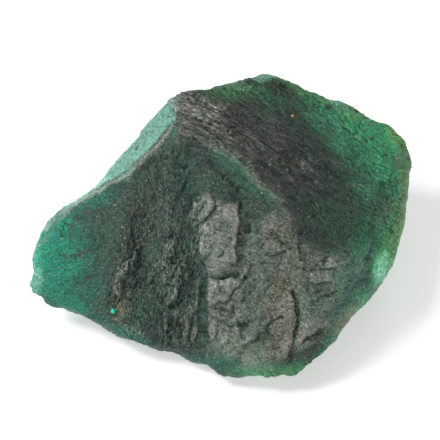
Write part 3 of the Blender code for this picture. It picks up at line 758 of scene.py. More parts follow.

# %% [markdown]
# ## Where the colours lie
# Real emerald is uneven: the thin left tip and the upper right rim are clear teal green, made
# brighter by painted light that comes through the thin stone, the edges turn lime, partly from iron
# stain and partly from painted glow, and a grey-brown skin of mica, partly painted sheen, lies on the
# middle of the front and along the crests. The masks could be brushed on in Vertex Paint. Here each
# colour's mask, a number from 0 to 1 on every point, is drawn with soft ellipses, which are easy to
# move. Five masks bring no colour of their own: one is painted light and makes the colour brighter,
# one is painted shade and darker stone and makes it darker, "smooth" has less grain, and "streak"
# and "fibre" have it drawn out.

# %% Patches of colour and finish
# across, up, half length, half width, turn, softness, strength
PATCHES = {
    "teal": [
        (-25.6, -1.4, 6, 3.8, 45, 1, 1), (-20.5, -10.5, 5, 3.4, 40, 1, 0.55),
        (-28.2, -7, 12.5, 10, 30, 1, 1), (-25.4, -7.6, 13.5, 9, 74, 0.8, 0.62),
        (-24, -12.4, 7, 3, -24, 0.9, 0.75), (-20.5, 2.2, 9, 2.4, 36, 1, 0.6),
        (2, 7.8, 8.5, 2.2, -42, 0.9, 0.36), (-4.6, 7, 4.5, 1.8, 80, 0.9, 0.25),
        (20.5, -10, 8, 4.2, 56, 0.8, 0.28), (1, -23.5, 18, 3, -8, 0.8, 0.34),
        (-17, -17.5, 12, 2.6, -22, 0.8, 0.42), (-7.2, 15.2, 3.4, 1.6, 75, 0.9, 0.5),
        (20, -12.5, 8, 3, 48, 0.9, 0.3),
    ],
    "green": [
        (26.6, 12, 16, 10.8, -44, 1, 1), (23.4, -1.5, 8.5, 4.8, 74, 1, 0.5),
        (19.5, 12.5, 7, 4, -50, 1, 0.8), (22.5, 5, 5, 3.4, -20, 1, 0.6),
        (8, 18.9, 5, 2, -25, 1, 0.35), (29, 0, 18, 7.4, 80, 1, 0.9),
        (20.6, 15.8, 13, 5.4, -28, 1, 0.9), (16, 15.4, 5, 3, -30, 1, 0.65),
        (1, 20.4, 6, 2, 8, 0.8, 0.3), (25.4, -6.4, 6.5, 3, 62, 1, 0.95),
        (17.5, -20, 9, 3, 50, 0.9, 0.4), (22, -12.8, 5, 2.4, 56, 1, 0.5),
        (9, -24, 12, 3, 0, 0.8, 0.5), (28, 5, 17, 13, -62, 1, 0.42),
        (3.5, 6.8, 8.5, 2.2, -42, 0.9, 0.32), (11, 22.4, 5, 1.8, -20, 0.9, 0.7),
        (2.6, 0.2, 3, 1.2, 85, 0.9, 0.5), (19, 0, 7, 5, -50, 1, 0.28),
        (15.5, -12.5, 7, 3, 35, 0.9, 0.45), (17, -5, 5, 2, 20, 0.9, 0.4),
        (4.5, -3.5, 4, 1.6, 80, 0.9, 0.4), (4, -18, 5, 2, 60, 0.9, 0.35),
    ],
    "lime": [
        (2.2, 19.9, 7, 2.4, 8, 0.9, 0.36), (17, 18.6, 13, 1.7, -26, 0.8, 0.5),
        (28.4, 13.4, 7, 2.6, -54, 0.9, 1), (29, 2, 14, 2.2, 83, 0.9, 0.8),
        (26.2, -5.5, 5.6, 2.2, 64, 0.9, 0.75), (9, -24, 8, 2, 0, 0.9, 0.35),
        (7.6, 22.6, 4, 1.4, -5, 0.9, 0.4),
    ],
    "pale": [
        (-29.2, -10.2, 5, 3, 75, 1, 0.75), (25.2, -7.2, 4.6, 1.8, 60, 1, 0.62),
        (23.6, -4.6, 3, 1.2, 80, 1, 0.35), (18.7, 17.6, 4, 1.6, -26, 1, 0.4),
        (16.5, 15.5, 6, 2.6, -30, 1, 0.25), (-30.5, -7, 9.5, 3.6, 80, 1, 0.55),
        (-27.8, -0.6, 5.5, 1.6, 52, 1, 0.9), (-22.6, 2.9, 5, 1.1, 32, 1, 0.9),
        (-7.6, 17, 3.6, 1.4, 72, 1, 0.9), (-14.5, 7.8, 3.6, 1.4, 45, 1, 0.5),
        (7, 22.8, 3.4, 1.2, 0, 0.8, 0.6),
    ],
    # grey skin of mica, partly painted sheen
    "film_and_sheen": [
        (-1.6, 0.4, 4.6, 3, 78, 1, 1), (-2, 17.6, 5, 1.6, -20, 1, 0.8),
        (0.6, -2.6, 9, 5, 88, 1, 0.42), (-2.6, -2, 6.5, 2.4, 84, 1, 0.8),
        (1, -14, 8.5, 4.5, 88, 1, 0.5), (8, -1, 4, 2.6, 60, 1, 0.4), (9, -5.5, 4, 3.4, 80, 1, 0.4),
        (9.5, -15, 6.5, 3.6, 80, 1, 0.4), (16, -6.8, 6, 2.6, 10, 1, 0.5),
        (14.5, -16, 4.5, 2.8, 20, 1, 0.5), (11.5, -19, 5, 2.6, 20, 1, 0.6),
        (-3, 16.4, 9, 3.8, -26, 1, 0.85), (1, 13, 11, 2.6, -30, 1, 0.5),
        (13.5, 7.6, 3.8, 1.8, -10, 1, 0.5), (-14.8, -7.6, 7, 2.2, 70, 1, 0.65),
        (-9.6, 0.6, 6, 2.6, 82, 1, 0.4), (-7.4, -7, 9, 3.4, 82, 1, 0.5),
        (-5.5, -15.5, 6, 3, 82, 1, 0.5), (-13.2, -17.4, 4, 1.4, -25, 1, 0.4),
    ],
    "brown": [
        (6.4, 11.2, 14.5, 6.8, -38, 0.8, 1), (-13, -4, 14, 4, 78, 0.8, 0.5),
        (-4, 15, 8, 5, -30, 0.8, 0.7), (11, -4, 8, 3, 80, 0.8, 0.7),
        (10.5, -15, 9, 4.5, 80, 0.8, 0.6),
    ],
    "haze": [
        (3, -10.5, 13.5, 6.5, 88, 0.7, 0.9), (12, -10.5, 9.5, 8.5, 60, 0.7, 0.8),
        (8.5, -1.5, 5.5, 4, 60, 0.8, 0.6), (-8, -7, 10, 3.6, 82, 0.9, 0.3),
        (16.5, -8, 6.5, 4.5, 50, 0.9, 0.7), (4, -20.5, 8, 3.4, -12, 1, 0.7),
        (20, -9, 5.6, 2.6, 50, 1, 0.4),
    ],
    # painted light: places made brighter
    "painted_light": [
        (-28.6, -6, 7, 3.4, 78, 1, 0.45), (-20, 4.4, 7, 1.3, 34, 1, 0.6),
        (7.8, 21, 2.4, 1.4, 0, 1, 0.35), (27.4, 11.6, 5, 2.4, -62, 1, 0.3),
        (24.8, -7.4, 4.6, 2.2, 60, 1, 0.85), (28.4, 2, 12, 2.8, 83, 1, 0.3),
        (3, -20.8, 9, 4, -14, 1, 0.7), (19, -8.5, 9, 5, 50, 1, 0.75), (11.5, -19, 5, 2.8, 20, 1, 0.6),
        (20, -14.6, 10, 3.5, 50, 1, 0.8), (-1.6, -2.5, 6.5, 3.6, 80, 1, 0.35),
        (12, -14, 8, 5, 70, 1, 0.35), (-16, -15, 10, 4, -25, 1, 0.35),
        (-2.6, -13, 8, 1.6, 88, 1, 0.4), (-7.8, -10.1, 2.6, 1.6, 60, 1, 0.4),
        (0, -9.6, 2.6, 1.2, 0, 1, 0.5), (10.9, -18.7, 2.6, 1.6, 30, 1, 0.5),
        (20.2, -8.5, 3.4, 1.6, 50, 1, 0.8), (3.1, -15.9, 2.4, 1.2, 80, 1, 0.5),
        (7, -18.9, 2.2, 1.2, 30, 1, 0.6), (3.1, 21.2, 3.4, 1.2, 8, 1, 0.6),
        (24, 6, 4, 2.4, 65, 1, 0.4),
    ],
    # painted shade in the hollows of the top and along the bowl crease, and darker green stone elsewhere
    "dark_and_shaded": [
        (-3.2, 14.6, 2.8, 1.4, -30, 1, 0.8), (-6, 16.4, 2.2, 1.1, -25, 1, 0.7),
        (4.2, 13, 7, 2.6, -38, 1, 0.5), (11, 18, 5, 3, -25, 1, 0.22), (13, 9.5, 7, 3, -50, 1, 0.35),
        (-10, 2.5, 5, 2.6, 80, 1, 0.35), (-1.6, -7.1, 1.5, 1.1, 10, 1, 0.8),
        (10.1, 1.6, 3.4, 2, -30, 1, 0.75), (14.4, -2.6, 4, 2.2, -20, 1, 0.45),
        (16, -11, 3.6, 1.6, 10, 1, 0.8), (3.1, 10.6, 3, 1.2, -40, 1, 0.6),
        (-7, 3.9, 5, 1.4, 75, 1, 0.5), (2.9, 0, 2.4, 0.9, 85, 1, 0.5),
        (10.4, -9.6, 1.8, 1.4, 60, 1, 0.6), (-1, -2.4, 3, 1.8, 80, 1, 0.35),
        (-5.4, 15.8, 2, 1.2, -20, 1, 0.5), (0.4, 6.8, 4.4, 1.1, -46, 1, 0.6),
        (-11, 14.5, 6.5, 2.6, 55, 1, 0.3), (-1.4, 9.2, 3.6, 2.6, -20, 1, 0.45),
        (4.2, -20.3, 2.4, 1.2, 0, 1, 0.6), (7, -17.9, 2.4, 0.9, -10, 1, 0.5),
    ],
    "streak": [
        (13, 10.6, 22, 10, -38, 0.4, 1), (-2, 16, 10, 6, -26, 0.5, 1),
    ],
    "fibre": [
        (-9.2, -4.5, 20, 8.4, 84, 0.5, 1),
    ],
    "smooth": [
        (1.6, 7.4, 9.5, 3, -42, 1, 1), (-4.8, 6.4, 5, 2, 80, 1, 0.8), (2, -20.6, 9, 4, -10, 1, 1),
        (12, -22, 7, 3, 20, 1, 0.7), (-20, -15.5, 8, 2, -24, 1, 0.7), (0.4, -3, 7.5, 4, 85, 1, 0.4),
        (0.6, -11.5, 4, 3, 85, 1, 0.4), (25, 10, 8, 5, -50, 1, 0.3), (7.4, 22.4, 4.2, 1.8, 0, 1, 1),
    ],
    "olive": [
        (9.8, -13, 11.5, 4, 82, 1, 0.85), (9, -3, 5, 3, 80, 1, 0.6), (-15, -13, 3.5, 1.8, 60, 1, 0.6),
        (19.6, -15.2, 4.5, 1.6, 56, 1, 0.6), (28.4, 3, 10, 2, 82, 1, 0.4),
        (28.5, 9.6, 3.6, 1.4, 75, 1, 0.5), (25.9, 1.2, 3.4, 1.4, 80, 1, 0.5),
        (12, -18.5, 6, 3, 20, 1, 0.4), (3.5, -20.5, 5, 1.6, -30, 1, 0.4),
    ],
    "stain": [
        (28.5, 6, 14, 4.4, 80, 0.8, 0.8), (18, 17.4, 12, 3.8, -26, 0.8, 0.6),
        (3, 19.5, 6, 3, 8, 0.8, 0.5), (26, 1.4, 7, 3.4, 80, 0.8, 1), (25.8, 0.8, 4, 2.4, 80, 0.8, 1),
    ],
}
print(sum(len(patches) for patches in PATCHES.values()), "patches in", len(PATCHES), "masks")

# %% [markdown]
# ## Lines and spots of colour
# Some marks of the stone are lines: the film that clings to the crests, with painted sheen on it,
# the pale edge of the left crest, chalky with a painted highlight along it, and three pale scratches
# in the green field. Single dark spots are dots.

# %% Lines and spots
SEAM_WIDTH = 0.24
CREST_LINE_WIDTH = 0.2
PALE_LINE_WIDTH, PALE_LINE_STRENGTH = 0.14, 0.7
PALE_LINES = {
    "field line": [(20.2, 13.1), (21.5, 12.4), (22.4, 12.2)],
    "second field line": [(19.9, 5.7), (22, 5.5), (24, 5.2)],
    "third field line": [(16.8, 9.4), (17.9, 8.9), (19.2, 8.8)],
}
# across, up, radius
SPOTS = [
    (17, 17.6, 0.50), (16.4, 17.9, 0.45), (20.2, 17.5, 0.4), (21.3, 16.9, 0.5), (22.7, 15.8, 0.4),
    (23.8, 12.9, 0.45), (18.7, 6.2, 0.5), (28.3, 11.5, 0.45), (-12.9, 11.2, 0.4), (26.6, -1.8, 0.5),
]
CREST_FILM_AND_SHEEN_STRENGTH = 0.45
# line, width
CREST_FILM_AND_SHEEN = {
    "left crest": (
        [(-28, -4.2), (-24.9, 0.5), (-18.6, 4.6), (-12.4, 8.9), (-9.3, 12), (-7.1, 15.3)], 0.35,
    ),
    "main crest": ([(-6.3, 14.6), (-2.3, 12.4), (1.4, 10.6), (4.7, 6.8), (8.6, 3.9), (11, 0.6)], 1.1),
    "second crest": ([(-5, 17.2), (-0.8, 15.8), (3.6, 13.2), (7, 11)], 0.8),
}
LEFT_CREST = [
    (-29.9, -8.6), (-29.4, -5.6), (-27.8, -1.9), (-25.3, 0.8), (-21.8, 2.8), (-18.6, 4.6),
    (-15.4, 6.6), (-12.4, 8.9), (-9.3, 12), (-7.1, 15.3), (-6.8, 18), (-5.9, 20),
]
print(len(PALE_LINES) + len(CREST_FILM_AND_SHEEN) + 1, "lines and", len(SPOTS), "spots")

# %% [markdown]
# ## Writing the masks
# The masks are written on the mesh's points, where the material can read them. Grey skin, partly
# painted sheen, also lies on the ledges and lumps, and a shadow is painted dark in front of each
# ledge. Teal and green go right through the stone. The skins only lie on its surface, so they are
# drawn on the side that faces the eye, and the far side has film and brown in broad patches, and a
# little haze, rust and lime between them.

# %% Write the masks
MARK_WANDER = (1.0, 0.35, 0.15)
SEAM_WANDER = (0.5, 0.5, 0.3)
STRIP_START, STRIP_FULL = -2.0, -8.0
SKINS = ("pale", "film_and_sheen", "brown", "haze", "olive", "lime", "stain", "painted_light", "dark_and_shaded", "ledge_shadow", "streak",
         "fibre")
BEHIND = {"film_and_sheen": 0.55, "brown": 0.8, "haze": 0.35, "stain": 0.5, "lime": 0.12}


def patch_mask(marks, patches):
    mask = np.zeros(len(marks))
    for *ellipse, strength in patches:
        mask = np.maximum(mask, strength * inside_ellipse(marks, *ellipse) ** 1.6)
    return mask


points = points_of(stone.data) / MM
marks = wandered(marks_of(points), *MARK_WANDER)
close_marks = wandered(marks_of(points), *CLOSE_WANDER)
seam_marks = wandered(marks_of(points), *SEAM_WANDER)
masks = {name: patch_mask(marks, patches) for name, patches in PATCHES.items()}


def strengthen(name, values):
    """Makes a mask at least as strong as values."""
    masks[name] = np.maximum(masks.get(name, 0), values)


for height, reach, skin, line in LEDGES.values():
    share = ledge_share(close_marks, reach, line)
    strengthen("film_and_sheen", skin * np.maximum(share, 0))
    # painted shadow: dark in front of each ledge's sharp edge
    strengthen("ledge_shadow", -2 * share)
for *ellipse, height, skin in LUMPS.values():
    strengthen("film_and_sheen", skin * inside_ellipse(close_marks, *ellipse, LUMP_SOFTNESS))
for line, width in CREST_FILM_AND_SHEEN.values():
    distance = line_distance(marks, line)[0]
    strengthen("film_and_sheen", CREST_FILM_AND_SHEEN_STRENGTH * np.exp(-((distance / width) ** 2)))
for line in SEAMS.values():
    strengthen("seam", line_share(seam_marks, SEAM_WIDTH, line))
distance, side, from_end = line_distance(close_marks, LEFT_CREST)
# the left crest's pale line, with a painted highlight along it
strengthen("crest line", np.exp(-((distance / CREST_LINE_WIDTH) ** 2)) * ramp(from_end, 1, 9))
# painted light: the strip beside the left crest is made pale where it faces the lamp and light comes
# through
strengthen("pale", ramp(side * distance, 0.2, 1.0) * ramp(marks[:, 0], STRIP_START, STRIP_FULL))
for line in PALE_LINES.values():
    strengthen("crest line", PALE_LINE_STRENGTH * line_share(close_marks, PALE_LINE_WIDTH, line))
for across, up, radius in SPOTS:
    gap = np.hypot(*(close_marks - (across, up)).T)
    strengthen("spot", ramp(gap, radius, 0.6 * radius))

towards = points_of(stone.data, "normal") @ np.array(TO_EYE)
facing = towards > 0
for name in ("spot", "seam", "crest line"):
    masks[name] = masks[name] * facing
front = ramp(towards, -0.4, 0.2)
patchy = ramp(cloud(points, 8.0, 3), -0.3, 0.4)
for name in SKINS:
    behind = BEHIND.get(name, 0.0) * (patchy if name in ("film_and_sheen", "brown") else 1 - patchy)
    masks[name] = front * masks[name] + (1 - front) * behind
for name, mask in masks.items():
    write_attribute(stone.data, name, mask)

# %% [markdown]
# ## The stone's material
# The body is nearly black where it is deep, so what shows there is mostly the reflection of the
# room in rough grain. The masks bring in the colours, and noise breaks each of them into mottles,
# veins and grain. All of it could be joined by hand in the shader editor. A small class makes the
# nodes here, because one formula takes many of them.

# %% A small kit for node trees
class Tree:
    """Adds nodes to one material and joins them."""

    def __init__(self, material):
        self.nodes = material.node_tree.nodes
        self.links = material.node_tree.links

    def put(self, socket, value):
        if isinstance(value, bpy.types.NodeSocket):
            self.links.new(value, socket)
        else:
            socket.default_value = value

    def attribute(self, name):
        node = self.nodes.new("ShaderNodeAttribute")
        node.attribute_name = name
        return node.outputs["Fac"]

    def noise(self, place, size, detail=4.0, roughness=0.6, distortion=0.0):
        """Noise whose lumps are about size mm."""
        node = self.nodes.new("ShaderNodeTexNoise")
        self.put(node.inputs["Vector"], place)
        node.inputs["Scale"].default_value = 1.0 / (size * MM)
        node.inputs["Detail"].default_value = detail
        node.inputs["Roughness"].default_value = roughness
        node.inputs["Distortion"].default_value = distortion
        return node.outputs["Fac"]

    def stretched(self, place, stretch, turn=0.0, tilt=0.0):
        """Places on which a pattern is drawn out along each axis, tilted, then turned about Z."""
        node = self.nodes.new("ShaderNodeMapping")
        node.vector_type = "TEXTURE"
        self.put(node.inputs["Vector"], place)
        node.inputs["Rotation"].default_value = (0.0, math.radians(tilt), math.radians(turn))
        node.inputs["Scale"].default_value = stretch
        return node.outputs["Vector"]

    def wrinkles(self, place, size):
        """Sharp little crests about size mm apart, from 0.3 in the gaps to 1.5 on the crests."""
        node = self.nodes.new("ShaderNodeTexNoise")
        node.noise_type = "RIDGED_MULTIFRACTAL"
        self.put(node.inputs["Vector"], place)
        node.inputs["Scale"].default_value = 1.0 / (size * MM)
        node.inputs["Detail"].default_value = 2.0
        node.inputs["Roughness"].default_value = 0.6
        node.inputs["Offset"].default_value = 1.0
        node.inputs["Gain"].default_value = 1.0
        node.inputs["Distortion"].default_value = 0.5
        return node.outputs["Fac"]

    def maths(self, kind, *values):
        node = self.nodes.new("ShaderNodeMath")
        node.operation = kind
        for socket, value in zip(node.inputs, values):
            self.put(socket, value)
        return node.outputs["Value"]

    def times(self, first, second, plus=0.0):
        return self.maths("MULTIPLY_ADD", first, second, plus)

    def blend(self, share, first, second):
        """A number that goes from the first to the second as share goes from 0 to 1."""
        return self.times(share, self.maths("SUBTRACT", second, first), first)

    def remap(self, value, low, high, to_low=0.0, to_high=1.0):
        node = self.nodes.new("ShaderNodeMapRange")
        node.interpolation_type = "SMOOTHSTEP"
        self.put(node.inputs["Value"], value)
        node.inputs["From Min"].default_value, node.inputs["From Max"].default_value = low, high
        node.inputs["To Min"].default_value, node.inputs["To Max"].default_value = to_low, to_high
        return node.outputs["Result"]

    def mix(self, factor, first, second, blend="MIX"):
        node = self.nodes.new("ShaderNodeMix")
        node.data_type = "RGBA"
        node.blend_type = blend
        self.put(node.inputs["Factor"], factor)
        colours = [socket for socket in node.inputs if socket.type == "RGBA"]
        self.put(colours[0], first)
        self.put(colours[1], second)
        return [socket for socket in node.outputs if socket.type == "RGBA"][0]


# %% [markdown]
# ## The palette
# The colours are linear, so they look darker as numbers than on the stone. From top to bottom: the
# body and its stains, teal and green from deep to the thin edges lit by painted light, then the
# skins, stains, the painted glint of mica and the painted shade of the hollows.

# %% Palette
def rgb(red, green, blue):
    return (red, green, blue, 1.0)


DEEP = rgb(0.022, 0.044, 0.030)
MOSS = rgb(0.024, 0.064, 0.040)
BROWN = rgb(0.040, 0.046, 0.036)
OLIVE = rgb(0.118, 0.112, 0.072)
HAZE = rgb(0.098, 0.132, 0.104)
DARK_TEAL = rgb(0.012, 0.078, 0.054)
TEAL = rgb(0.004, 0.100, 0.061)
SEA = rgb(0.003, 0.215, 0.132)
DARK_GREEN = rgb(0.024, 0.092, 0.048)
GREEN = rgb(0.022, 0.180, 0.083)
LEAF = rgb(0.042, 0.290, 0.130)
PALE = rgb(0.140, 0.370, 0.280)
LIME = rgb(0.100, 0.300, 0.100)
FILM_AND_SHEEN = rgb(0.212, 0.212, 0.186)
GREEN_FILM_AND_SHEEN = rgb(0.120, 0.145, 0.120)
CHALK_AND_HIGHLIGHT = rgb(0.32, 0.31, 0.27)
SEAM = rgb(0.036, 0.036, 0.026)
RUST = rgb(0.085, 0.060, 0.028)
SPOT = rgb(0.030, 0.028, 0.016)
MICA_GLINT = rgb(0.360, 0.340, 0.310)
PAINTED_SHADE = rgb(0.008, 0.036, 0.023)
print("deep body:", DEEP[:3], "and thin edge:", LEAF[:3])

# %% [markdown]
# ## Grain in the material
# Grain that is finer than the mesh is drawn by the material. Plain noise in three sizes mottles the
# colours. Ridged noise has sharp crests, and taken from a fixed number they turn into creases: short
# ones in the clear teal, longer ones elsewhere. Where the crystal's fibres show, on the sloping top
# and on the left of the front, the noise is stretched along them into streaks and fibres.

# %% Noise, creases, streaks and fibres
CREST_TO_CREASE = 1.8
CREASE_TURN, CREASE_TILT = -18.0, 9.0
STREAK_TURN, STREAK_TILT = -28.0, 13.0
CLEAR_CALM, DRAWN_OUT_CALM = 0.28, 0.42


def grain_nodes(tree):
    """The textures that the colours and the bump share."""
    place = tree.nodes.new("ShaderNodeTexCoord").outputs["Object"]
    teal, green, streak, fibre = [tree.attribute(name) for name in ("teal", "green", "streak", "fibre")]

    def ridges(size, stretch=(1.0, 1.0, 1.0), turn=0.0, tilt=0.0):
        return tree.wrinkles(tree.stretched(place, stretch, turn, tilt), size)

    creases = tree.blend(teal, ridges(0.40, (2.2, 1, 1), CREASE_TURN, CREASE_TILT), ridges(0.34))
    creases = tree.blend(streak, creases, ridges(0.28, (7, 1, 1), STREAK_TURN, STREAK_TILT))
    creases = tree.blend(fibre, creases, ridges(0.28, (1, 3.4, 3.4)))
    wrinkle = tree.maths("SUBTRACT", CREST_TO_CREASE, ridges(0.75))
    wrinkle = tree.blend(streak, wrinkle, ridges(0.45, (8, 1, 1), STREAK_TURN, STREAK_TILT))
    wrinkle = tree.blend(fibre, wrinkle, ridges(0.36, (1, 2.4, 2.4)))
    clear = tree.maths("MAXIMUM", teal, green)
    drawn_out = tree.maths("MAXIMUM", fibre, streak)
    return SimpleNamespace(
        broad=tree.noise(place, 4.0, detail=5.0),
        middle=tree.noise(place, 0.9, detail=5.0, roughness=0.7),
        fine=tree.noise(place, 0.27, detail=1.0, roughness=0.7),
        grit=tree.noise(place, 0.30, detail=0.0),
        specks=tree.noise(place, 0.6, detail=2.0),
        creases=tree.maths("SUBTRACT", CREST_TO_CREASE, creases),
        wrinkle=wrinkle,
        drawn_out=drawn_out,
        calm=tree.times(clear, CLEAR_CALM, tree.blend(drawn_out, DRAWN_OUT_CALM, 0.0)),
    )


# %% [markdown]
# ## Body, skins and glints
# The colour is built up as the stone is: the dark body first, then the clear teal and green, which
# go from shade to deep to thin as their masks rise, the thin edges brightened by painted light. Iron
# and weather tint it next. The grey film with its painted sheen, chalk with a painted highlight,
# seams, rust and spots lie on top, with painted shade in the hollows and a painted shadow in front of
# the ledges. Last the grain paints shade in its creases and light on its crests, specks of mica get
# painted glints, painted light makes some places brighter, and painted shade and darker stone make
# others darker.

# %% Body colours
def broken_mask(tree, mask, texture, spread=0.3):
    """A mask with its soft edge broken up by a texture."""
    return tree.remap(tree.maths("ADD", mask, tree.times(texture, spread, -0.5 * spread)), 0.0, 1.0)


def body_colour(tree, grain):
    """The body, its clear colours, and the tints that iron and weather give it."""
    mask, remap, mix = tree.attribute, tree.remap, tree.mix
    colour = mix(remap(grain.broad, 0.4, 0.65), DEEP, MOSS)
    colour = mix(broken_mask(tree, mask("brown"), grain.middle, 0.8), colour, BROWN)
    for name, shade, deep, thin in (
        ("teal", DARK_TEAL, TEAL, SEA), ("green", DARK_GREEN, GREEN, LEAF),
    ):
        share = tree.times(grain.middle, 0.24, mask(name))
        body = mix(remap(share, 0.50, 1.12), deep, thin)
        colour = mix(remap(share, 0.12, 0.60), colour, shade)
        colour = mix(remap(share, 0.30, 1.00), colour, body)
    for name, tint, spread in (("lime", LIME, 0.5), ("pale", PALE, 0.3), ("haze", HAZE, 0.6)):
        colour = mix(broken_mask(tree, mask(name), grain.middle, spread), colour, tint)
    return mix(mask("olive"), colour, OLIVE)


# %% Skins, seams and stains
def skinned_colour(tree, grain, colour):
    """The colour under what lies on it, with painted shade in its hollows and before its ledges."""
    mask, times, remap = tree.attribute, tree.times, tree.remap
    raised, high = remap(mask("hollow"), 0.72, 0.30), remap(mask("valley"), 0.62, 0.34)
    proud = times(high, 0.36, times(raised, 0.28, 0.36))
    film_and_sheen = broken_mask(tree, mask("film_and_sheen"), grain.middle, 0.4)
    stain = broken_mask(tree, mask("stain"), grain.middle, 0.6)
    for share, tint in (
        # grey skin of mica with painted sheen, most on what stands proud
        (times(film_and_sheen, proud), tree.mix(mask("fibre"), FILM_AND_SHEEN, GREEN_FILM_AND_SHEEN)),
        # pale lines, with a painted highlight along the left crest
        (times(mask("crest line"), remap(grain.fine, 0.35, 0.65, 0.1, 0.7)), CHALK_AND_HIGHLIGHT),
        (times(mask("seam"), remap(grain.fine, 0.35, 0.6, 0.5, 1.0)), SEAM),
        (times(remap(grain.specks, 0.60, 0.68), stain), RUST),
        (times(mask("spot"), 0.8), SPOT),
        # painted shadow in front of the ledges
        (times(mask("ledge_shadow"), 0.6), PAINTED_SHADE),
        # painted shade in the hollows of the surface
        (remap(mask("hollow"), 0.60, 1.0, 0.0, 0.75), PAINTED_SHADE),
    ):
        colour = tree.mix(share, colour, tint)
    return colour


# %% Creases, glints and finish
def grained_colour(tree, grain, colour):
    """The colour with its grain, painted shade in its creases, painted glints, and painted light and
    shade.
    """
    mask, times, remap, blend = tree.attribute, tree.times, tree.remap, tree.blend
    # painted shade in the creases of the grain and painted light on its crests
    shade = blend(grain.calm, remap(grain.wrinkle, 0.30, 1.20, 0.62, 1.22), 0.97)
    shade = times(remap(grain.fine, 0.30, 0.72, 0.80, 1.34), shade)
    shade = times(shade, remap(grain.creases, 0.30, 1.25, 0.66, 1.36))
    contrast = times(mask("smooth"), -0.45, blend(grain.drawn_out, 0.92, 1.5))
    colour = tree.mix(1.0, colour, blend(contrast, 1.0, shade), "MULTIPLY")
    skin = tree.maths("MAXIMUM", mask("film_and_sheen"), mask("brown"))
    # painted glints: light specks where mica would catch the lamp
    glint = times(remap(grain.grit, 0.62, 0.80, 0.0, 0.40), remap(skin, 0.0, 1.0, 0.7, 1.0))
    colour = tree.mix(glint, colour, MICA_GLINT)
    # painted light brightens, the streaks darken a little, painted shade and darker stone darken
    for name, gain in (("painted_light", 1.9), ("streak", 0.9), ("dark_and_shaded", 0.5)):
        colour = tree.mix(1.0, colour, remap(mask(name), 0.0, 1.0, 1.0, gain), "MULTIPLY")
    return colour


# %% Emerald
BERYL_IOR, BERYL_GLOSS = 1.57, 0.35
BUMP_DEPTH = 0.18
CREASE_BUMP, WRINKLE_BUMP = 0.35, 0.6


def emerald_material():
    material = plain_material("raw_emerald", (0.03, 0.08, 0.06), 0.42)
    tree = Tree(material)
    grain = grain_nodes(tree)
    shader = tree.nodes["Principled BSDF"]
    colour = skinned_colour(tree, grain, body_colour(tree, grain))
    tree.put(shader.inputs["Base Color"], grained_colour(tree, grain, colour))
    tree.put(shader.inputs["Roughness"], tree.remap(grain.middle, 0.3, 0.7, 0.36, 0.54))
    shader.inputs["IOR"].default_value = BERYL_IOR
    shader.inputs["Specular IOR Level"].default_value = BERYL_GLOSS
    heights = tree.times(grain.creases, CREASE_BUMP, grain.middle)
    heights = tree.times(grain.wrinkle, tree.blend(grain.calm, WRINKLE_BUMP, 0.0), heights)
    bump = tree.nodes.new("ShaderNodeBump")
    bump.inputs["Strength"].default_value = 1.0
    bump.inputs["Distance"].default_value = BUMP_DEPTH * MM
    tree.put(bump.inputs["Height"], heights)
    tree.put(shader.inputs["Normal"], bump.outputs["Normal"])
    print("emerald:", len(tree.nodes), "nodes")
    return material


stone.data.materials.clear()
stone.data.materials.append(emerald_material())
stone.data.shade_smooth()

# %% [markdown]
# ## Mica flakes and loose grains
# Small flakes of mica lie nearly flat on the skin, and each one flashes when it meets the light. A
# flake is a low six-sided plate, and real mica breaks into just such plates. Geometry Nodes could
# scatter them. One bmesh does it here, so that a few more can be set one by one, and their number is
# easy to check. Most lie where the skin is brown or grey. Two single grains of other minerals sit
# in the skin, one low on the front and one on the sloping top.

# %% Flakes and grains
FLAKES = 360
SMALLEST_FLAKE, LARGEST_FLAKE = 0.05, 0.12
FLAKE_THICKNESS, FLAKE_LIFT, FLAKE_LEAN = 0.05, 0.02, 0.5
BOX_MARGIN = 0.3
FAR = 10.0
PLACED_FLAKES = [
    (10.4, -9.5), (-8.4, -0.9), (-16.6, 2.3), (-15.2, -0.9), (-15.1, -3.7), (-16.2, -15.4), (4, 22),
    (9, 5.3), (6.6, 4.2), (12.1, 1.9), (13.8, 0.5), (3.3, 9.9), (7.7, 8.7), (17.4, 5.6), (22.9, 3.1),
]
GRAIN_LIFT = 0.25
# across, up, radius, colour
GRAINS_APART = {
    "teal_grain": (-16.6, -14.1, 0.36, (0.02, 0.60, 0.45)),
    "amber_grain": (11.2, 16.2, 0.20, (0.85, 0.45, 0.14)),
}


def stone_point(mark):
    """The point nearest to a mark, on the side that has marks, and the way it faces."""
    gaps = np.hypot(*(marks_of(points) - mark).T) + FAR * ~facing
    nearest = int(np.argmin(gaps))
    return points[nearest], normals[nearest]


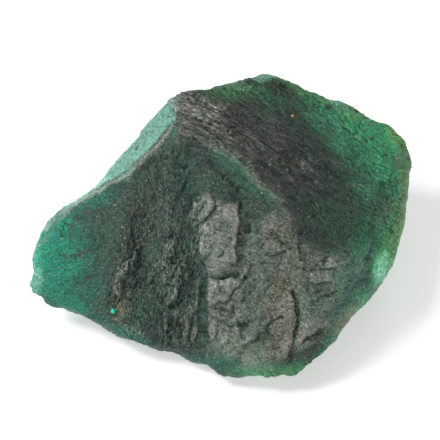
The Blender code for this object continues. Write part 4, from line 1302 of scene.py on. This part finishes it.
def plate(bm, point, normal, size):
    way = Vector(normal) + FLAKE_LEAN * Vector([random.uniform(-1, 1) for _ in range(3)])
    turn = way.to_track_quat("Z", "Y").to_matrix().to_4x4()
    place = Matrix.Translation(Vector(point + FLAKE_LIFT * normal) * MM) @ turn
    bmesh.ops.create_cone(
        bm, cap_ends=True, segments=6, radius1=size * MM, radius2=0.8 * size * MM,
        depth=FLAKE_THICKNESS * MM,
        matrix=place @ Matrix.Diagonal((1.0, random.uniform(0.6, 1.0), 1.0, 1.0)),
    )


def add_piece(piece):
    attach(piece, "root")
    return piece


normals = points_of(stone.data, "normal")
low, high = np.array(cad_box[0]) / MM + BOX_MARGIN, np.array(cad_box[1]) / MM - BOX_MARGIN
inside_box = ((points > low) & (points < high)).all(1)
chance = inside_box * np.clip(0.15 + masks["film_and_sheen"] + masks["brown"] + 0.5 * masks["stain"], 0, 1)
chosen = np.random.default_rng(SEED).choice(len(points), FLAKES, replace=False, p=chance / chance.sum())
bm = bmesh.new()
for i in chosen:
    size = SMALLEST_FLAKE + (LARGEST_FLAKE - SMALLEST_FLAKE) * random.random() ** 2
    plate(bm, points[i], normals[i], size)
for mark in PLACED_FLAKES:
    plate(bm, *stone_point(mark), LARGEST_FLAKE)
flakes = add_piece(object_from(bm, "mica_flakes"))
flakes.data.materials.append(plain_material("mica", (0.60, 0.58, 0.54), 0.3))
print("flakes:", len(chosen) + len(PLACED_FLAKES), "with", triangles_in(flakes.data), "triangles")

for name, (across, up, size, tint) in GRAINS_APART.items():
    bm = bmesh.new()
    point, normal = stone_point((across, up))
    bmesh.ops.create_icosphere(
        bm, subdivisions=2, radius=size * MM,
        matrix=Matrix.Translation(Vector(point + GRAIN_LIFT * size * normal) * MM),
    )
    grain = add_piece(object_from(bm, name))
    grain.data.shade_smooth()
    grain.data.materials.append(plain_material(name, tint, 0.3))
    print(name, "at, mm:", point.round(1).tolist())

# %% [markdown]
# ## The finished piece
# The dressed stone takes the plain solid's place, and every piece rides on the stone's one body.

# %% Piece, and the solid hidden
add_piece(stone)
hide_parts("emerald")
